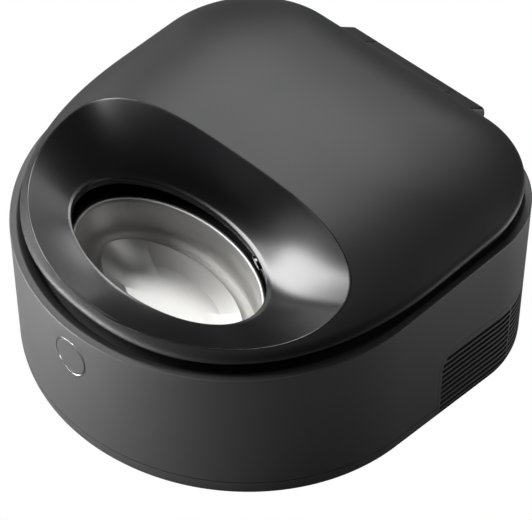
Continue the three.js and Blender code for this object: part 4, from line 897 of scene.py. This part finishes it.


# Gives a piece its finish, the slot's own unless another is named, and the body that it rides on, and hides
# the nodes that it stands in for
def dress(piece, body, slot, *replaced, finish=None):
    piece.data.materials.clear()
    piece.data.materials.append(finishes[finish or slot])
    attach(piece, body)
    if replaced:
        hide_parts(*replaced)
    return piece


# The inner solids keep their own meshes, in the finish of their slot
slotOf = {part["node"]: part["material_slot"] for part in frame["record"]["subparts"]}
for name, node in nodes.items():
    node.data.materials.clear()
    node.data.materials.append(finishes[slotOf[name]])

# Housing, grille, pan and button take the lit copy of the charcoal, a colour painted lighter for the light on
# the walls
dress(makeHousing(), "housing", "shell", "outer_housing", finish="wall")
print("housing made")
dress(makeGrille(), "housing", "shell", "vent_grille", finish="wall")
print("grille made")
dress(makePan(), "housing", "shell", "base_pan", finish="wall")
print("pan made")
dress(makeLid(), "lid", "shell", "lid_shell")
dress(makeDish(), "lid", "dish", "lid_dish")
dress(makePanel(), "lid", "inner", "lid_inner_panel")
dress(makeGasket(), "lid", "rubber", "lid_gasket")
for knuckle in makeKnuckles():
    dress(knuckle, "housing", "shell")
dress(makeArm(), "lid", "shell")
print("lid made")
cap, ring = makeButton()
dress(cap, "button", "shell", "front_button", finish="wall")
dress(ring, "housing", "ring")
for number in (1, 2, 3):
    dress(makeBowl(number), "carousel", "steel", f"bowl_{number}")
print("bowls made")
dress(makeLiner(), "housing", "inner", "chamber_liner")
dress(makeTable(), "carousel", "inner", "turntable")
for name in ("foot_rear_right", "foot_rear_left", "foot_front_right", "foot_front_left"):
    dress(makeFoot(name), "housing", "rubber", name)
cup, pin = makeInlet()
dress(cup, "housing", "inner", "power_inlet")
dress(pin, "housing", "steel")
print("chamber, feet and socket made")

# The floor glows white for the camera alone. To the feeder it is a grey that throws back little light.
ground = {"half": 4000.0, "height": -0.05, "shaded": 0.12, "grey": 0.3, "roughness": 0.8}


def makeFloor():
    half, height = ground["half"], ground["height"]
    corners = [[x * half, y * half, height] for x, y in ((-1, -1), (1, -1), (1, 1), (-1, 1))]
    floor = addPiece("floor", np.array(corners), [[0, 1, 2, 3]])
    material, tree, links, shader = newMaterial("paleFloor")
    shader.inputs["Base Color"].default_value = (*[ground["grey"]] * 3, 1)
    shader.inputs["Roughness"].default_value = ground["roughness"]
    seen, glow = tree.new("ShaderNodeLightPath"), tree.new("ShaderNodeEmission")
    mixed = tree.new("ShaderNodeMixShader")
    # under the feeder the floor lies in its shade, so it isn't seen white through the slots
    place, reach = tree.new("ShaderNodeTexCoord"), tree.new("ShaderNodeVectorMath")
    beyond, lit = tree.new("ShaderNodeMath"), tree.new("ShaderNodeMath")
    reach.operation, beyond.operation, lit.operation = "LENGTH", "GREATER_THAN", "MULTIPLY"
    beyond.inputs[1].default_value = ground["shaded"]
    links.new(place.outputs["Object"], reach.inputs[0])
    links.new(reach.outputs["Value"], beyond.inputs[0])
    links.new(seen.outputs["Is Camera Ray"], lit.inputs[0])
    links.new(beyond.outputs[0], lit.inputs[1])
    links.new(lit.outputs[0], mixed.inputs[0])
    links.new(shader.outputs["BSDF"], mixed.inputs[1])
    links.new(glow.outputs["Emission"], mixed.inputs[2])
    links.new(mixed.outputs["Shader"], tree["Material Output"].inputs["Surface"])
    floor.data.materials.append(material)


makeFloor()

# A faint even light from all round
fill = 0.006
world = bpy.data.worlds.new("studio")
bpy.context.scene.world = world
world.use_nodes = True
background = world.node_tree.nodes["Background"]
background.inputs["Color"].default_value = (1, 1, 1, 1)
background.inputs["Strength"].default_value = fill

# Soft boxes, in metres. The far ones light everything, and the near ones are low strips beside the walls,
# below the lid. Each stands at an azimuth, counted from the front towards the right, and an elevation,
# both in degrees, and has a power in watts.
farBox = {"distance": 2.4, "width": 0.8, "height": 0.6, "aim": 0.08}
wideBox = {"distance": 2.4, "width": 1.1, "height": 0.8, "aim": 0.08}
nearBox = {"distance": 0.62, "width": 0.34, "height": 0.075, "aim": 0.045}
softBoxes = {
    "leftMiddle": (wideBox, -65, 35, 29.0),
    "leftLow": (farBox, -65, 14, 6.0),
    "leftFront": (farBox, -50, 27, 1.2),
    "leftSide": (farBox, -85, 45, 0.5),
    "leftRear": (farBox, -105, 45, 1.6),
    "rearLeft": (farBox, -125, 50, 14.0),
    "rear": (farBox, -160, 50, 2.0),
    "rearLow": (farBox, -150, 30, 4.6),
    "above": (farBox, 46, 75, 3.6),
    "rightHigh": (farBox, 135, 40, 2.8),
    "leftEdge": (farBox, -105, 15, 3.0),
    "wallLeft": (nearBox, -50, 0, 0.5),
    "wallFrontLeft": (nearBox, -28, 0, 2.7),
    "wallFront": (nearBox, -5, 0, 0.45),
    "wallRight": (nearBox, 138, 0, 0.8),
    "wallSide": (nearBox, 115, 0, 0.1),
}


# Placement in metres at a distance from a point, in the direction of an azimuth and an elevation, facing it
def facing(aim, distance, azimuth, elevation):
    a, e = np.radians(azimuth), np.radians(elevation)
    towards = np.array([np.sin(a) * np.cos(e), -np.cos(a) * np.cos(e), np.sin(e)])
    across = np.array([np.cos(a), np.sin(a), 0])
    axes = np.column_stack([across, np.cross(towards, across), towards])
    place = np.array(aim) + towards * distance
    return Matrix([[*row, p] for row, p in zip(axes, place)] + [[0, 0, 0, 1]])


for name, (box, azimuth, elevation, power) in softBoxes.items():
    light = bpy.data.lights.new(name, "AREA")
    light.shape, light.size, light.size_y, light.energy = "RECTANGLE", box["width"], box["height"], power
    lamp = bpy.data.objects.new(name, light)
    bpy.context.scene.collection.objects.link(lamp)
    lamp.matrix_world = facing((0, 0, box["aim"]), box["distance"], azimuth, elevation)

# The camera's distance, target and range are in metres, its focal length and image width in pixels
view = {"azimuth": 46.004, "elevation": 44.0415, "distance": 1.59902, "target": (0.00392, 0.0097, 0.06),
        "focal": 2277.75, "imageWidth": 532, "sensor": 36, "near": 0.1, "far": 20}
optics = bpy.data.cameras.new("camera")
optics.sensor_width, optics.sensor_fit = view["sensor"], "HORIZONTAL"
optics.lens = view["focal"] * view["sensor"] / view["imageWidth"]
optics.clip_start, optics.clip_end = view["near"], view["far"]
camera = bpy.data.objects.new("camera", optics)
bpy.context.scene.collection.objects.link(camera)
camera.matrix_world = facing(view["target"], view["distance"], view["azimuth"], view["elevation"])
bpy.context.scene.camera = camera
bpy.context.scene.view_settings.view_transform = "Standard"
print("camera and lights placed")
